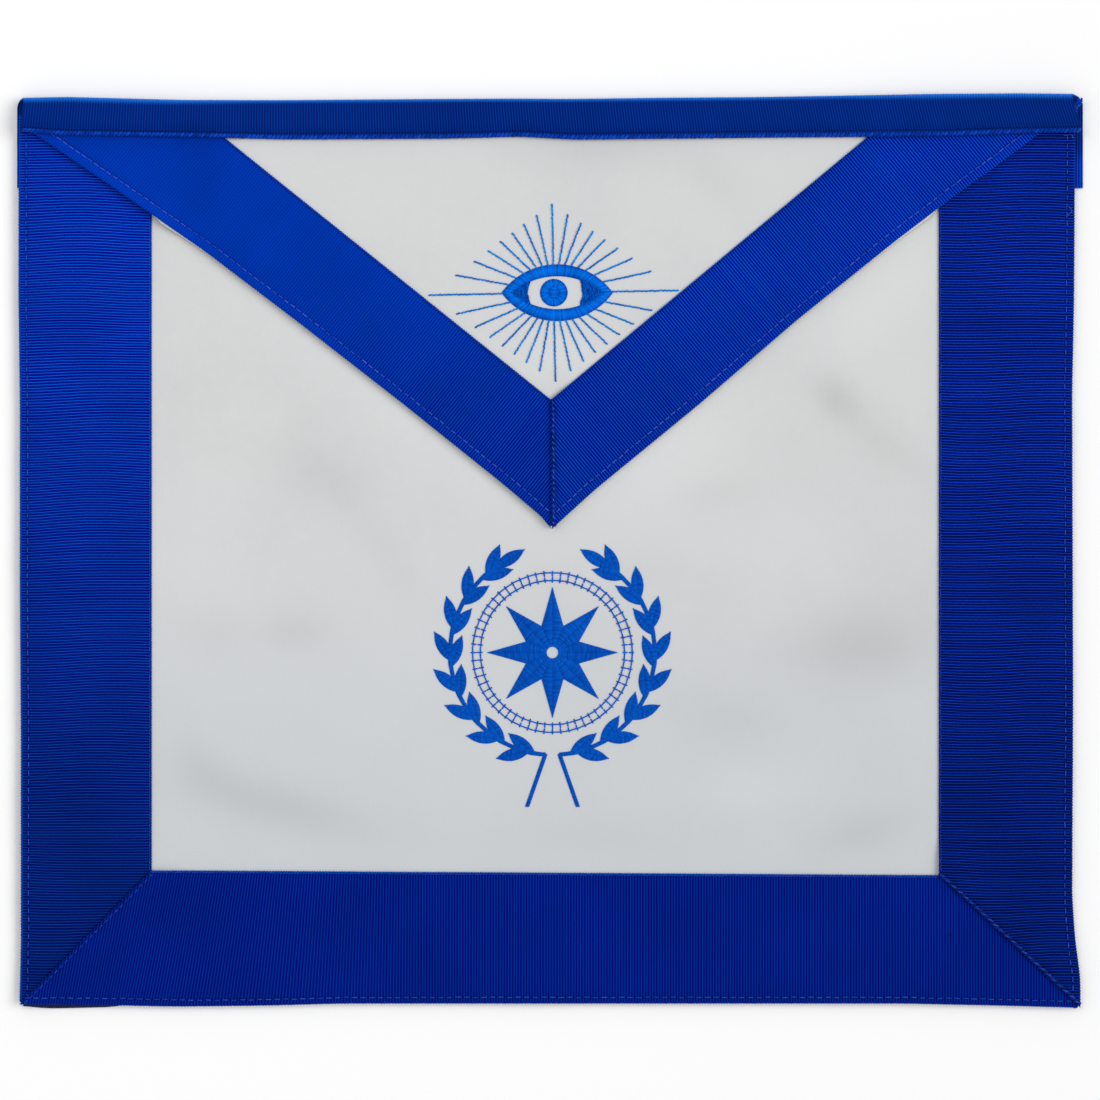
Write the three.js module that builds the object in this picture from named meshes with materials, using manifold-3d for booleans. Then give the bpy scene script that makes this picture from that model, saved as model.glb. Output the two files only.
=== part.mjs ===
// A masonic apron lying flat with its flap down: a white leather panel and a pointed leather flap, both
// bordered with ribbed ribbon, on a dark lining, held at the top in a folded ribbon waistband.
// Millimetres. +X runs along the waist, +Y towards it, +Z up from the surface that the apron lies on.
import * as THREE from 'three';
import { mergeVertices } from 'three/addons/utils/BufferGeometryUtils.js';
import Module from 'manifold-3d';

const wasm = await Module();
wasm.setup();

// Driving dimensions of the panel, its flap and its ribbons.
const bodyWidth = 406.4;
const bodyHeight = 350.8;
const borderWidth = 50.6;
const borderRightWidth = 51.6;
const flapDrop = 167;
const flapRibbonWidth = 38;
const bandFront = 16.2;
const bandBack = 35.4;
const bandPastLeft = 1.4;
const bandPastRight = 4.1;
const bandEndCut = 4.9;

// Walls of the sheets, and the clearance that each keeps from the next.
const leatherWall = 1.2;
const flapWall = 1.2;
const ribbonWall = 1;
const liningWall = 1;
const threadWall = 0.8;
const clearance = 0.3;

// How far edges wander from their straight lines, and how the layers are set against each other.
const edgeDrift = 2.7;
const bandDrift = 2.3;
const flapBow = 4.2;
const cornerCut = 2;
const windowSlant = 1.9;
const panelInset = 1;
const liningPeek = 1.3;
const leatherPeek = 0.6;
const swellHeight = 1.6;
const swellFade = 45;
const flapLift = 1;
const flapLiftReach = 26;
const stepSpread = 26;

// Embroidery: the eye on the flap, and a star in a wreath on the panel.
const eyeLength = 42.8;
const eyeHeight = 21.8;
const eyeRim = 3.7;
const eyeOpening = 21.2;
const irisRadius = 5.3;
const starRadius = 25;
const starWaist = 11;
const starHole = 2.3;
const wreathRadius = 39.5;
const sprigLowest = -86;
const sprigHighest = 58;
const tailLength = 20;
const tailSpread = 7;
const stemWidth = 1.5;
const leafSplay = 28;
const leafLength = 13;
const leafWidth = 4.6;

// Counts, and the spacing of the nodes that every sheet's surface is drawn through.
const latticeStep = 15;
const bandSteps = 30;
const foldSteps = 5;
const starPoints = 8;
const leafPairs = 8;
const arcSteps = 12;
const leafSteps = 6;

const ribbonBlue = new THREE.MeshStandardMaterial({ color: 0x082f94, roughness: 0.62, metalness: 0 });
const whiteLeather = new THREE.MeshStandardMaterial({ color: 0xd6d9da, roughness: 0.55, metalness: 0 });
const navyCloth = new THREE.MeshStandardMaterial({ color: 0x0b1030, roughness: 0.85, metalness: 0 });
const azureThread = new THREE.MeshStandardMaterial({ color: 0x0a62c4, roughness: 0.45, metalness: 0 });
const royalThread = new THREE.MeshStandardMaterial({ color: 0x0b4bbd, roughness: 0.45, metalness: 0 });

// Outer edges: the share of the edge that is passed, and its drift outwards as a share of edgeDrift.
const leftDrift = [
  { passed: 0, drift: 0.15 },
  { passed: 0.22, drift: 0.2 },
  { passed: 0.33, drift: 0 },
  { passed: 0.55, drift: 0 },
  { passed: 0.7, drift: -0.15 },
  { passed: 0.93, drift: -0.15 },
  { passed: 1, drift: 0.05 },
];
const rightDrift = [
  { passed: 0, drift: 0.28 },
  { passed: 0.22, drift: 0.14 },
  { passed: 0.33, drift: -0.14 },
  { passed: 0.66, drift: 0 },
  { passed: 0.88, drift: -0.14 },
  { passed: 0.93, drift: 0.28 },
  { passed: 0.97, drift: 1 },
  { passed: 1, drift: 1 },
];
const bottomDrift = [
  { passed: 0, drift: -0.1 },
  { passed: 0.08, drift: 0 },
  { passed: 0.17, drift: 0.29 },
  { passed: 0.25, drift: 0.14 },
  { passed: 0.31, drift: -0.14 },
  { passed: 0.84, drift: -0.14 },
  { passed: 0.93, drift: 0.14 },
  { passed: 1, drift: 0.43 },
];

// Where the lining shows under the bottom ribbon: the share of that edge, and the share of liningPeek.
const liningShow = [
  { passed: 0, peek: 0.5 },
  { passed: 0.025, peek: 1 },
  { passed: 0.09, peek: 0.6 },
  { passed: 0.12, peek: -1 },
  { passed: 0.95, peek: -1 },
  { passed: 0.99, peek: 0 },
  { passed: 1, peek: 0.6 },
];

// Waistband: the share of its length, and how far its two long edges stand up, as shares of bandDrift.
const bandEdges = [
  { passed: 0, top: -0.17, low: 1 },
  { passed: 0.04, top: 0, low: 0.33 },
  { passed: 0.15, top: -0.5, low: 0.1 },
  { passed: 0.25, top: -0.5, low: -0.3 },
  { passed: 0.4, top: -0.3, low: -0.17 },
  { passed: 0.47, top: -0.25, low: 0.17 },
  { passed: 0.52, top: -0.3, low: -0.33 },
  { passed: 0.62, top: -0.1, low: -0.17 },
  { passed: 0.7, top: 0, low: 0 },
  { passed: 0.87, top: 0.5, low: 0.2 },
  { passed: 0.95, top: 0.6, low: 0.7 },
  { passed: 1, top: 0.5, low: 0.83 },
];

// Ends of the waistband: the share of its wall from the back leg's low edge round to the front leg's,
// and how far each end stops short, as shares of bandEndCut.
const bandEnds = [
  { passed: 0, left: 0, right: 0 },
  { passed: 0.35, left: 0, right: 0 },
  { passed: 0.47, left: 0.6, right: 1 },
  { passed: 0.6, left: 0.6, right: 0.9 },
  { passed: 1, left: 0.37, right: 0.12 },
];

// Flap edges from the waist to the point: where each starts and leans, and how it bows inwards.
const flapLeft = {
  startAcross: 0.003,
  startBelow: 0.033,
  innerSlope: 38.75,
  bows: [
    { passed: 0, bow: 0 },
    { passed: 0.14, bow: 0.43 },
    { passed: 0.33, bow: 0.95 },
    { passed: 0.52, bow: 0.96 },
    { passed: 0.71, bow: 0.83 },
    { passed: 0.9, bow: 0.54 },
    { passed: 0.98, bow: 0.29 },
  ],
};
const flapRight = {
  startAcross: 0.9886,
  startBelow: 0.023,
  innerSlope: 39.1,
  bows: [
    { passed: 0, bow: 0 },
    { passed: 0.12, bow: 0.25 },
    { passed: 0.2, bow: 0.57 },
    { passed: 0.31, bow: 0.82 },
    { passed: 0.51, bow: 0.88 },
    { passed: 0.71, bow: 0.59 },
    { passed: 0.91, bow: 0.42 },
  ],
};
const flapPointAcross = 0.5052;
const ribbonSetAt = 0.5;

// Soft swells of the leather: centre and spread as shares of the panel, rise as a share of swellHeight.
const swells = [
  { across: 0.27, below: 0.36, wide: 0.11, tall: 0.1, rise: 0.8 },
  { across: 0.3, below: 0.7, wide: 0.12, tall: 0.11, rise: 1 },
  { across: 0.7, below: 0.72, wide: 0.13, tall: 0.09, rise: 0.9 },
  { across: 0.79, below: 0.36, wide: 0.08, tall: 0.12, rise: 1 },
  { across: 0.5, below: 0.22, wide: 0.16, tall: 0.09, rise: 0.6 },
];

const eyeAcross = 0.507;
const eyeBelow = 0.2155;
const emblemAcross = 0.5057;
const starBelow = 0.613;

// Levels: each sheet's underside is worked out from the walls of those below it.
const floorWall = Math.max(liningWall, ribbonWall);
const waistY = bodyHeight / 2;
const bandHeight = floorWall + leatherWall + flapWall + 3 * ribbonWall + 5 * clearance;
const panelTopY = waistY - bandHeight / 2 - bandDrift - clearance;
const stepMargin = 1.5 * latticeStep;
const bandMiddle = (bandPastRight - bandPastLeft) / 2;
const bandLength = bodyWidth + bandPastLeft + bandPastRight;

// Reads a table of rows at one value, straight between its rows and level past its ends.
function readTable(table, column, passed) {
  const next = table.findIndex((row) => row.passed > passed);
  if (next === 0) return table[0][column];
  if (next < 0) return table[table.length - 1][column];
  const before = table[next - 1];
  const after = table[next];
  const share = (passed - before.passed) / (after.passed - before.passed);
  return before[column] + (after[column] - before[column]) * share;
}

function smoothStep(share) {
  const kept = Math.min(Math.max(share, 0), 1);
  return kept * kept * (3 - 2 * kept);
}

function place(across, below) {
  return new THREE.Vector2((across - 0.5) * bodyWidth, waistY - below * bodyHeight);
}

function distanceToLine(point, start, end) {
  const along = end.clone().sub(start);
  const offset = point.clone().sub(start);
  const share = Math.min(Math.max(offset.dot(along) / along.lengthSq(), 0), 1);
  return offset.sub(along.multiplyScalar(share)).length();
}

// The panel's outline, set in from its ribbons' outer edges by the inset, as a loop of points.
function panelOutline(inset) {
  const left = -bodyWidth / 2 + inset;
  const right = bodyWidth / 2 - inset;
  const bottom = -bodyHeight / 2 + inset;
  const points = leftDrift.slice(0, -1).map((row) => (
    new THREE.Vector2(left - row.drift * edgeDrift, waistY - row.passed * bodyHeight)
  ));
  const leftCorner = leftDrift[leftDrift.length - 1].drift * edgeDrift;
  const rightCorner = rightDrift[rightDrift.length - 1].drift * edgeDrift;
  const dipLeft = bottomDrift[0].drift * edgeDrift;
  const dipRight = bottomDrift[bottomDrift.length - 1].drift * edgeDrift;
  points.push(new THREE.Vector2(left - leftCorner, bottom - dipLeft + cornerCut));
  points.push(new THREE.Vector2(left - leftCorner + cornerCut, bottom - dipLeft));
  bottomDrift.slice(1, -1).forEach((row) => {
    points.push(new THREE.Vector2((row.passed - 0.5) * bodyWidth, bottom - row.drift * edgeDrift));
  });
  points.push(new THREE.Vector2(right + rightCorner - cornerCut, bottom - dipRight));
  points.push(new THREE.Vector2(right + rightCorner, bottom - dipRight + cornerCut));
  rightDrift.slice(0, -1).reverse().forEach((row) => {
    points.push(new THREE.Vector2(right + row.drift * edgeDrift, waistY - row.passed * bodyHeight));
  });
  return points;
}

const flapTip = new THREE.Vector2((flapPointAcross - 0.5) * bodyWidth, waistY - flapDrop);

// The straight line from the waist to the flap's point that one edge bows away from.
function flapChord(edge) {
  const start = place(edge.startAcross, edge.startBelow);
  const along = flapTip.clone().sub(start);
  const inwards = new THREE.Vector2(-along.y, along.x).normalize();
  if (inwards.y < 0) inwards.negate();
  return { start, along, inwards };
}

// One flap edge as points from the waist to just short of the point, set outwards by the peek.
function flapEdge(edge, peek) {
  const { start, along, inwards } = flapChord(edge);
  return edge.bows.map((row) => (
    start.clone().addScaledVector(along, row.passed).addScaledVector(inwards, row.bow * flapBow - peek)
  ));
}

// The flap's outline: down its left edge from the waist to the point, and up its right edge.
function flapOutline(peek) {
  const left = flapEdge(flapLeft, peek);
  const right = flapEdge(flapRight, peek);
  const point = flapTip.clone();
  point.y -= peek;
  const topLeft = new THREE.Vector2(left[0].x, waistY);
  const topRight = new THREE.Vector2(right[0].x, waistY);
  return [topLeft, ...left, point, ...right.reverse(), topRight];
}

// The straight inner edge of a flap ribbon, as two points far down and far up the line that it lies on.
function flapInnerEdge(edge, side) {
  const { start, along, inwards } = flapChord(edge);
  const bow = readTable(edge.bows, 'bow', ribbonSetAt) * flapBow;
  const slope = THREE.MathUtils.degToRad(edge.innerSlope);
  const lean = new THREE.Vector2(side * Math.cos(slope), Math.sin(slope));
  const square = new THREE.Vector2(-side * lean.y, side * lean.x);
  const middle = start.addScaledVector(along, ribbonSetAt).addScaledVector(inwards, bow);
  middle.addScaledVector(square, flapRibbonWidth);
  return [middle.clone().addScaledVector(lean, -bodyWidth), middle.clone().addScaledVector(lean, bodyWidth)];
}

const bodyEdge = panelOutline(0);
const flapEdgeLine = flapOutline(0);
const innerLeft = flapInnerEdge(flapLeft, -1);
const innerRight = flapInnerEdge(flapRight, 1);

// The window that the borders leave: its lower corners, where the mitres start.
const windowLow = -bodyHeight / 2 + borderWidth;
const windowLeft = new THREE.Vector2(-bodyWidth / 2 + borderWidth, windowLow + windowSlant / 2);
const windowRight = new THREE.Vector2(bodyWidth / 2 - borderRightWidth, windowLow - windowSlant / 2);
const cornerLeft = new THREE.Vector2(-bodyWidth / 2, -bodyHeight / 2);
const cornerRight = new THREE.Vector2(bodyWidth / 2 + edgeDrift, -bodyHeight / 2);

// Heights of the undersides and tops of the sheets.
function swell(x, y) {
  const edgeRoom = Math.min(bodyWidth / 2 - Math.abs(x), y + bodyHeight / 2, panelTopY - y);
  const rise = swells.reduce((sum, row) => {
    const centre = place(row.across, row.below);
    const u = (x - centre.x) / (row.wide * bodyWidth);
    const v = (y - centre.y) / (row.tall * bodyHeight);
    return sum + row.rise * Math.exp(-u * u - v * v);
  }, 0);
  return swellHeight * rise * smoothStep(edgeRoom / swellFade);
}

function bodyUnder(x, y) {
  return floorWall + clearance + swell(x, y);
}

function bodyTop(x, y) {
  return bodyUnder(x, y) + leatherWall;
}

function onBody(x, y) {
  return bodyTop(x, y) + clearance;
}

// The step over a border ribbon fades out past its inner edge, once a whole lattice cell has passed.
function borderStep(x) {
  const inside = bodyWidth / 2 - Math.max(borderWidth, borderRightWidth) - Math.abs(x) - stepMargin;
  return (ribbonWall + clearance) * (1 - smoothStep(inside / stepSpread));
}

function flapRise(x, y) {
  const point = new THREE.Vector2(x, y);
  const edge = flapEdgeLine.slice(1, -1);
  const nearest = edge.slice(1).reduce((least, end, index) => (
    Math.min(least, distanceToLine(point, edge[index], end))
  ), bodyWidth);
  const belowBand = waistY - bandFront - y;
  return flapLift * (1 - smoothStep(nearest / flapLiftReach)) * smoothStep(belowBand / (2 * bandFront));
}

function flapUnder(x, y) {
  return onBody(x, y) + borderStep(x) + flapRise(x, y);
}

function flapTop(x, y) {
  return flapUnder(x, y) + flapWall;
}

function onFlap(x, y) {
  return flapTop(x, y) + clearance;
}

// How far a place lies inside the white of the flap, from the nearer ribbon's inner edge.
function insideRibbons(x, y) {
  const [fromLeft, fromRight] = [innerLeft, innerRight].map((line) => {
    const along = line[1].clone().sub(line[0]).normalize();
    return along.cross(new THREE.Vector2(x, y).sub(line[0]));
  });
  return Math.min(-fromLeft, fromRight);
}

function ribbonStep(x, y) {
  const inside = insideRibbons(x, y) - stepMargin;
  return (ribbonWall + clearance) * (1 - smoothStep(inside / stepSpread));
}

function bandSeat(x, y) {
  return onFlap(x, y) + ribbonStep(x, y);
}

// The same height between the lattice's nodes, where every sheet is straight.
function betweenNodes(height, x, y) {
  const column = Math.floor(x / latticeStep);
  const row = Math.floor(y / latticeStep);
  const u = x / latticeStep - column;
  const v = y / latticeStep - row;
  const node = (i, j) => height((column + i) * latticeStep, (row + j) * latticeStep);
  if (u >= v) return node(0, 0) * (1 - u) + node(1, 0) * (u - v) + node(1, 1) * v;
  return node(0, 0) * (1 - v) + node(0, 1) * (v - u) + node(1, 1) * u;
}

function indexedGeometry(positions, faces) {
  const geometry = new THREE.BufferGeometry();
  geometry.setAttribute('position', new THREE.Float32BufferAttribute(positions, 3));
  geometry.setIndex(faces);
  return geometry;
}

function toSolid(geometry) {
  geometry.deleteAttribute('normal');
  geometry.deleteAttribute('uv');
  const merged = mergeVertices(geometry, 1e-4);
  return new wasm.Manifold(new wasm.Mesh({
    numProp: 3,
    vertProperties: merged.attributes.position.array,
    triVerts: Uint32Array.from(merged.index.array),
  }));
}

function toMesh(name, material, solid) {
  const { vertProperties, triVerts } = solid.getMesh();
  const geometry = new THREE.BufferGeometry();
  geometry.setAttribute('position', new THREE.BufferAttribute(vertProperties, 3));
  geometry.setIndex(new THREE.BufferAttribute(triVerts, 1));
  geometry.computeVertexNormals();
  const mesh = new THREE.Mesh(geometry, material);
  mesh.name = name;
  return mesh;
}

// An upright prism over an outline, between two levels.
function prism(points, low = -bandHeight, high = 3 * bandHeight) {
  const options = { depth: high - low, bevelEnabled: false };
  const geometry = new THREE.ExtrudeGeometry(new THREE.Shape(points), options);
  return toSolid(geometry.translate(0, 0, low));
}

// Everything on the left of a line that runs from start to end, short of it by the gap.
function leftOf(start, end, gap = 0) {
  const reach = bodyWidth + bodyHeight;
  const along = end.clone().sub(start).normalize();
  const across = new THREE.Vector2(-along.y, along.x);
  const near = start.clone().addScaledVector(across, gap);
  const back = near.clone().addScaledVector(along, -reach);
  const ahead = near.clone().addScaledVector(along, reach);
  const farAhead = ahead.clone().addScaledVector(across, reach);
  const farBack = back.clone().addScaledVector(across, reach);
  return prism([back, ahead, farAhead, farBack]);
}

// A slab of even wall over the lattice cells that the points span.
function slab(points, underside, wall) {
  const box = new THREE.Box2().setFromPoints(points);
  const firstColumn = Math.floor(box.min.x / latticeStep);
  const firstRow = Math.floor(box.min.y / latticeStep);
  const columns = Math.ceil(box.max.x / latticeStep) - firstColumn;
  const rows = Math.ceil(box.max.y / latticeStep) - firstRow;
  const positions = [];
  [0, wall].forEach((rise) => {
    for (let j = 0; j <= rows; j += 1) {
      for (let i = 0; i <= columns; i += 1) {
        const x = (firstColumn + i) * latticeStep;
        const y = (firstRow + j) * latticeStep;
        positions.push(x, y, underside(x, y) + rise);
      }
    }
  });
  const layer = (columns + 1) * (rows + 1);
  const node = (i, j) => j * (columns + 1) + i;
  const faces = [];
  for (let j = 0; j < rows; j += 1) {
    for (let i = 0; i < columns; i += 1) {
      const [a, b, c, d] = [node(i, j), node(i + 1, j), node(i + 1, j + 1), node(i, j + 1)];
      faces.push(a, c, b, a, d, c);
      faces.push(a + layer, b + layer, c + layer, a + layer, c + layer, d + layer);
    }
  }
  const rim = [];
  for (let i = 0; i < columns; i += 1) rim.push(node(i, 0));
  for (let j = 0; j < rows; j += 1) rim.push(node(columns, j));
  for (let i = columns; i > 0; i -= 1) rim.push(node(i, rows));
  for (let j = rows; j > 0; j -= 1) rim.push(node(0, j));
  rim.forEach((near, index) => {
    const far = rim[(index + 1) % rim.length];
    faces.push(near, far, far + layer, near, far + layer, near + layer);
  });
  return toSolid(indexedGeometry(positions, faces));
}

// A slab cut to an outline.
function sheet(points, underside, wall) {
  return slab(points, underside, wall).intersect(prism(points));
}

// Everything below a level line across the apron.
function belowLine(y) {
  return leftOf(new THREE.Vector2(bodyWidth, y), new THREE.Vector2(-bodyWidth, y));
}

function makeLining() {
  const left = -bodyWidth / 2 + panelInset;
  const right = bodyWidth / 2 - panelInset;
  const top = waistY - bandBack - clearance;
  const points = liningShow.map((row) => {
    const edge = bodyHeight / 2 + readTable(bottomDrift, 'drift', row.passed) * edgeDrift;
    return new THREE.Vector2(left + row.passed * (right - left), -edge - row.peek * liningPeek);
  });
  points.push(new THREE.Vector2(right, top), new THREE.Vector2(left, top));
  return toMesh('lining', navyCloth, prism(points, 0, liningWall));
}

function makeBodyPanel() {
  const panel = sheet(panelOutline(panelInset), bodyUnder, leatherWall).intersect(belowLine(panelTopY));
  return toMesh('body_panel', whiteLeather, panel);
}

// The three border ribbons: one sheet cut along the window's edges and along the two mitres.
function makeBorders() {
  const ring = sheet(bodyEdge, onBody, ribbonWall).intersect(belowLine(panelTopY));
  const up = new THREE.Vector2(0, bodyHeight);
  const half = clearance / 2;
  const left = ring.intersect(leftOf(windowLeft, windowLeft.clone().add(up)))
    .intersect(leftOf(cornerLeft, windowLeft, half));
  const right = ring.intersect(leftOf(windowRight.clone().add(up), windowRight))
    .intersect(leftOf(windowRight, cornerRight, half));
  const bottom = ring.intersect(leftOf(windowRight, windowLeft))
    .intersect(leftOf(windowLeft, cornerLeft, half))
    .intersect(leftOf(cornerRight, windowRight, half));
  return [
    toMesh('border_left', ribbonBlue, left),
    toMesh('border_right', ribbonBlue, right),
    toMesh('border_bottom', ribbonBlue, bottom),
  ];
}

// The flap's leather, and two ribbons that meet on a seam down the middle of its point.
function makeFlap() {
  const panel = sheet(flapOutline(leatherPeek), flapUnder, flapWall).intersect(belowLine(panelTopY));
  const strip = sheet(flapEdgeLine, onFlap, ribbonWall).intersect(belowLine(panelTopY));
  const seamX = (flapPointAcross - 0.5) * bodyWidth;
  const seamLow = new THREE.Vector2(seamX, -bodyHeight);
  const seamHigh = new THREE.Vector2(seamX, bodyHeight);
  const left = strip.intersect(leftOf(innerLeft[0], innerLeft[1]))
    .intersect(leftOf(seamLow, seamHigh, clearance / 2));
  const right = strip.intersect(leftOf(innerRight[1], innerRight[0]))
    .intersect(leftOf(seamHigh, seamLow, clearance / 2));
  return [
    toMesh('flap_panel', whiteLeather, panel),
    toMesh('flap_ribbon_left', ribbonBlue, left),
    toMesh('flap_ribbon_right', ribbonBlue, right),
  ];
}

// The level of the waistband's front leg at one place along it: clear of all that it covers nearby.
function frontLegLevel(x, topY, lowY) {
  const stride = bandLength / bandSteps;
  const levels = [-1, -0.5, 0, 0.5, 1].flatMap((ahead) => [0, 0.25, 0.5, 0.75, 1].map((share) => (
    betweenNodes(bandSeat, x + ahead * stride, lowY + share * (topY - lowY))
  )));
  return Math.max(...levels);
}

// The waistband's wall at one place along it: points round its outside, then back along its inside.
function bandSection(passed) {
  const topY = waistY + readTable(bandEdges, 'top', passed) * bandDrift;
  const lowY = waistY - bandFront + readTable(bandEdges, 'low', passed) * bandDrift;
  const x = bandMiddle + (passed - 0.5) * bandLength;
  const under = frontLegLevel(x, topY, lowY);
  const radius = (under + ribbonWall) / 2 - ribbonWall / 2;
  const foldY = topY - radius - ribbonWall / 2;
  const rows = [{ turn: -90, y: waistY - bandBack, along: 0 }];
  for (let step = 0; step <= foldSteps; step += 1) {
    rows.push({ turn: -90 + 180 * (step / foldSteps), y: foldY, along: 0.35 + 0.25 * (step / foldSteps) });
  }
  rows.push({ turn: 90, y: lowY, along: 1 });
  const wall = (side) => rows.map((row) => {
    const turn = THREE.MathUtils.degToRad(row.turn);
    const reach = radius + side * ribbonWall / 2;
    const left = -bodyWidth / 2 - bandPastLeft + readTable(bandEnds, 'left', row.along) * bandEndCut;
    const right = bodyWidth / 2 + bandPastRight - readTable(bandEnds, 'right', row.along) * bandEndCut;
    const level = radius + ribbonWall / 2 + reach * Math.sin(turn);
    return [left + passed * (right - left), row.y + reach * Math.cos(turn), level];
  });
  return [...wall(1), ...wall(-1).reverse()];
}

// The waistband: one ribbon folded over the top edge, its back leg longer than its front one.
function makeWaistband() {
  const positions = [];
  const faces = [];
  let ring = 0;
  for (let step = 0; step <= bandSteps; step += 1) {
    const section = bandSection(step / bandSteps);
    section.forEach((point) => positions.push(...point));
    ring = section.length;
  }
  for (let step = 0; step < bandSteps; step += 1) {
    for (let k = 0; k < ring; k += 1) {
      const near = step * ring + k;
      const beside = step * ring + (k + 1) % ring;
      faces.push(near, beside + ring, near + ring, near, beside, beside + ring);
    }
  }
  const last = bandSteps * ring;
  for (let k = 0; k < ring / 2 - 1; k += 1) {
    const [outer, nextOuter, nextInner, inner] = [k, k + 1, ring - 2 - k, ring - 1 - k];
    const cap = [outer, nextOuter, nextInner, outer, nextInner, inner];
    faces.push(...cap.map((corner) => last + corner), ...cap.reverse());
  }
  return toMesh('waistband', ribbonBlue, toSolid(indexedGeometry(positions, faces)));
}

function circle(centre, radius, steps) {
  return Array.from({ length: steps }, (_, step) => {
    const angle = 2 * Math.PI * (step / steps);
    return new THREE.Vector2(Math.cos(angle), Math.sin(angle)).multiplyScalar(radius).add(centre);
  });
}

// A pointed oval between two equal arcs, its length turned by an angle.
function lens(centre, length, height, turn, steps) {
  const radius = (length * length + height * height) / (4 * height);
  const half = Math.asin(length / 2 / radius);
  const arc = Array.from({ length: steps }, (_, step) => {
    const angle = half * (1 - 2 * (step / steps));
    return new THREE.Vector2(radius * Math.sin(angle), radius * (Math.cos(angle) - Math.cos(half)));
  });
  const both = [...arc, ...arc.map((point) => point.clone().negate())];
  return both.map((point) => point.rotateAround(new THREE.Vector2(), turn).add(centre));
}

// The eye: an almond-shaped rim with an opening across its middle, and an iris standing free in it.
function makeEye() {
  const centre = place(eyeAcross, eyeBelow);
  const almond = lens(centre, eyeLength, eyeHeight, 0, arcSteps);
  const inner = lens(centre, eyeLength - 2 * eyeRim, eyeHeight - 2 * eyeRim, 0, arcSteps);
  const past = new THREE.Vector2(eyeOpening / 2, 0);
  const opening = prism(inner)
    .intersect(leftOf(centre.clone().add(past), centre.clone().add(past).add(new THREE.Vector2(0, 1))))
    .intersect(leftOf(centre.clone().sub(past), centre.clone().sub(past).sub(new THREE.Vector2(0, 1))));
  const rim = sheet(almond, onFlap, threadWall).subtract(opening);
  const iris = sheet(circle(centre, irisRadius, 2 * arcSteps), onFlap, threadWall);
  return [toMesh('eye_rim', azureThread, rim), toMesh('eye_iris', azureThread, iris)];
}

// An eight-pointed star with a small hole at its middle.
function makeStar() {
  const centre = place(emblemAcross, starBelow);
  const outline = Array.from({ length: 2 * starPoints }, (_, corner) => {
    const angle = Math.PI * (0.5 + corner / starPoints);
    const reach = corner % 2 === 0 ? starRadius : starWaist;
    return new THREE.Vector2(Math.cos(angle), Math.sin(angle)).multiplyScalar(reach).add(centre);
  });
  const star = sheet(outline, onBody, threadWall).subtract(prism(circle(centre, starHole, arcSteps)));
  return toMesh('emblem_star', royalThread, star);
}

// One leafy sprig of the wreath: leaves in pairs up a curved stem, one at its end, and a tail below.
function makeSprig(name, side) {
  const centre = place(emblemAcross, starBelow);
  const onStem = (angle, radius) => (
    new THREE.Vector2(side * Math.cos(angle), Math.sin(angle)).multiplyScalar(radius).add(centre)
  );
  const lowest = THREE.MathUtils.degToRad(sprigLowest);
  const highest = THREE.MathUtils.degToRad(sprigHighest);
  const outer = [];
  const inner = [];
  for (let step = 0; step <= arcSteps; step += 1) {
    const angle = lowest + (highest - lowest) * (step / arcSteps);
    outer.push(onStem(angle, wreathRadius + stemWidth / 2));
    inner.push(onStem(angle, wreathRadius - stemWidth / 2));
  }
  const foot = onStem(lowest, wreathRadius);
  const tailEnd = foot.clone().add(new THREE.Vector2(side * tailSpread, -tailLength));
  const tailHalf = new THREE.Vector2(stemWidth / 2, 0);
  const tail = [foot.clone().sub(tailHalf), foot.clone().add(tailHalf), tailEnd.clone().add(tailHalf),
    tailEnd.clone().sub(tailHalf)];
  let shape = prism([...outer, ...inner.reverse()]).add(prism(tail));
  const addLeaf = (angle, splay) => {
    const heading = (side > 0 ? angle + Math.PI / 2 : Math.PI / 2 - angle) + side * splay;
    const reach = new THREE.Vector2(Math.cos(heading), Math.sin(heading));
    reach.multiplyScalar(leafLength / 2 - stemWidth);
    const middle = onStem(angle, wreathRadius).add(reach);
    shape = shape.add(prism(lens(middle, leafLength, leafWidth, heading, leafSteps)));
  };
  const splay = THREE.MathUtils.degToRad(leafSplay);
  for (let pair = 0; pair < leafPairs; pair += 1) {
    const angle = lowest + (highest - lowest) * ((pair + 0.6) / leafPairs);
    addLeaf(angle - splay / leafPairs, splay);
    addLeaf(angle, -splay);
  }
  addLeaf(highest, 0);
  const around = circle(centre, wreathRadius + leafLength + tailLength, arcSteps);
  return toMesh(name, royalThread, slab(around, onBody, threadWall).intersect(shape));
}

const apron = new THREE.Group();
apron.add(makeLining());
apron.add(makeBodyPanel());
apron.add(...makeBorders());
apron.add(...makeFlap());
apron.add(makeWaistband());
apron.add(...makeEye());
apron.add(makeStar());
apron.add(makeSprig('sprig_left', -1));
apron.add(makeSprig('sprig_right', 1));

// The origin is the middle of the apron's footprint, on the surface that it lies on.
const extent = new THREE.Box3().setFromObject(apron);
const middle = extent.getCenter(new THREE.Vector3());
apron.position.set(-middle.x, -middle.y, -extent.min.z);

export default apron;
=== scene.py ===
"""Looks of a masonic apron lying flat: ribbed ribbon, white leather, lining, stitches and embroidery."""

import logging
import math
from collections.abc import Callable
from dataclasses import asdict, dataclass
from enum import Enum
from functools import partial

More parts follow.
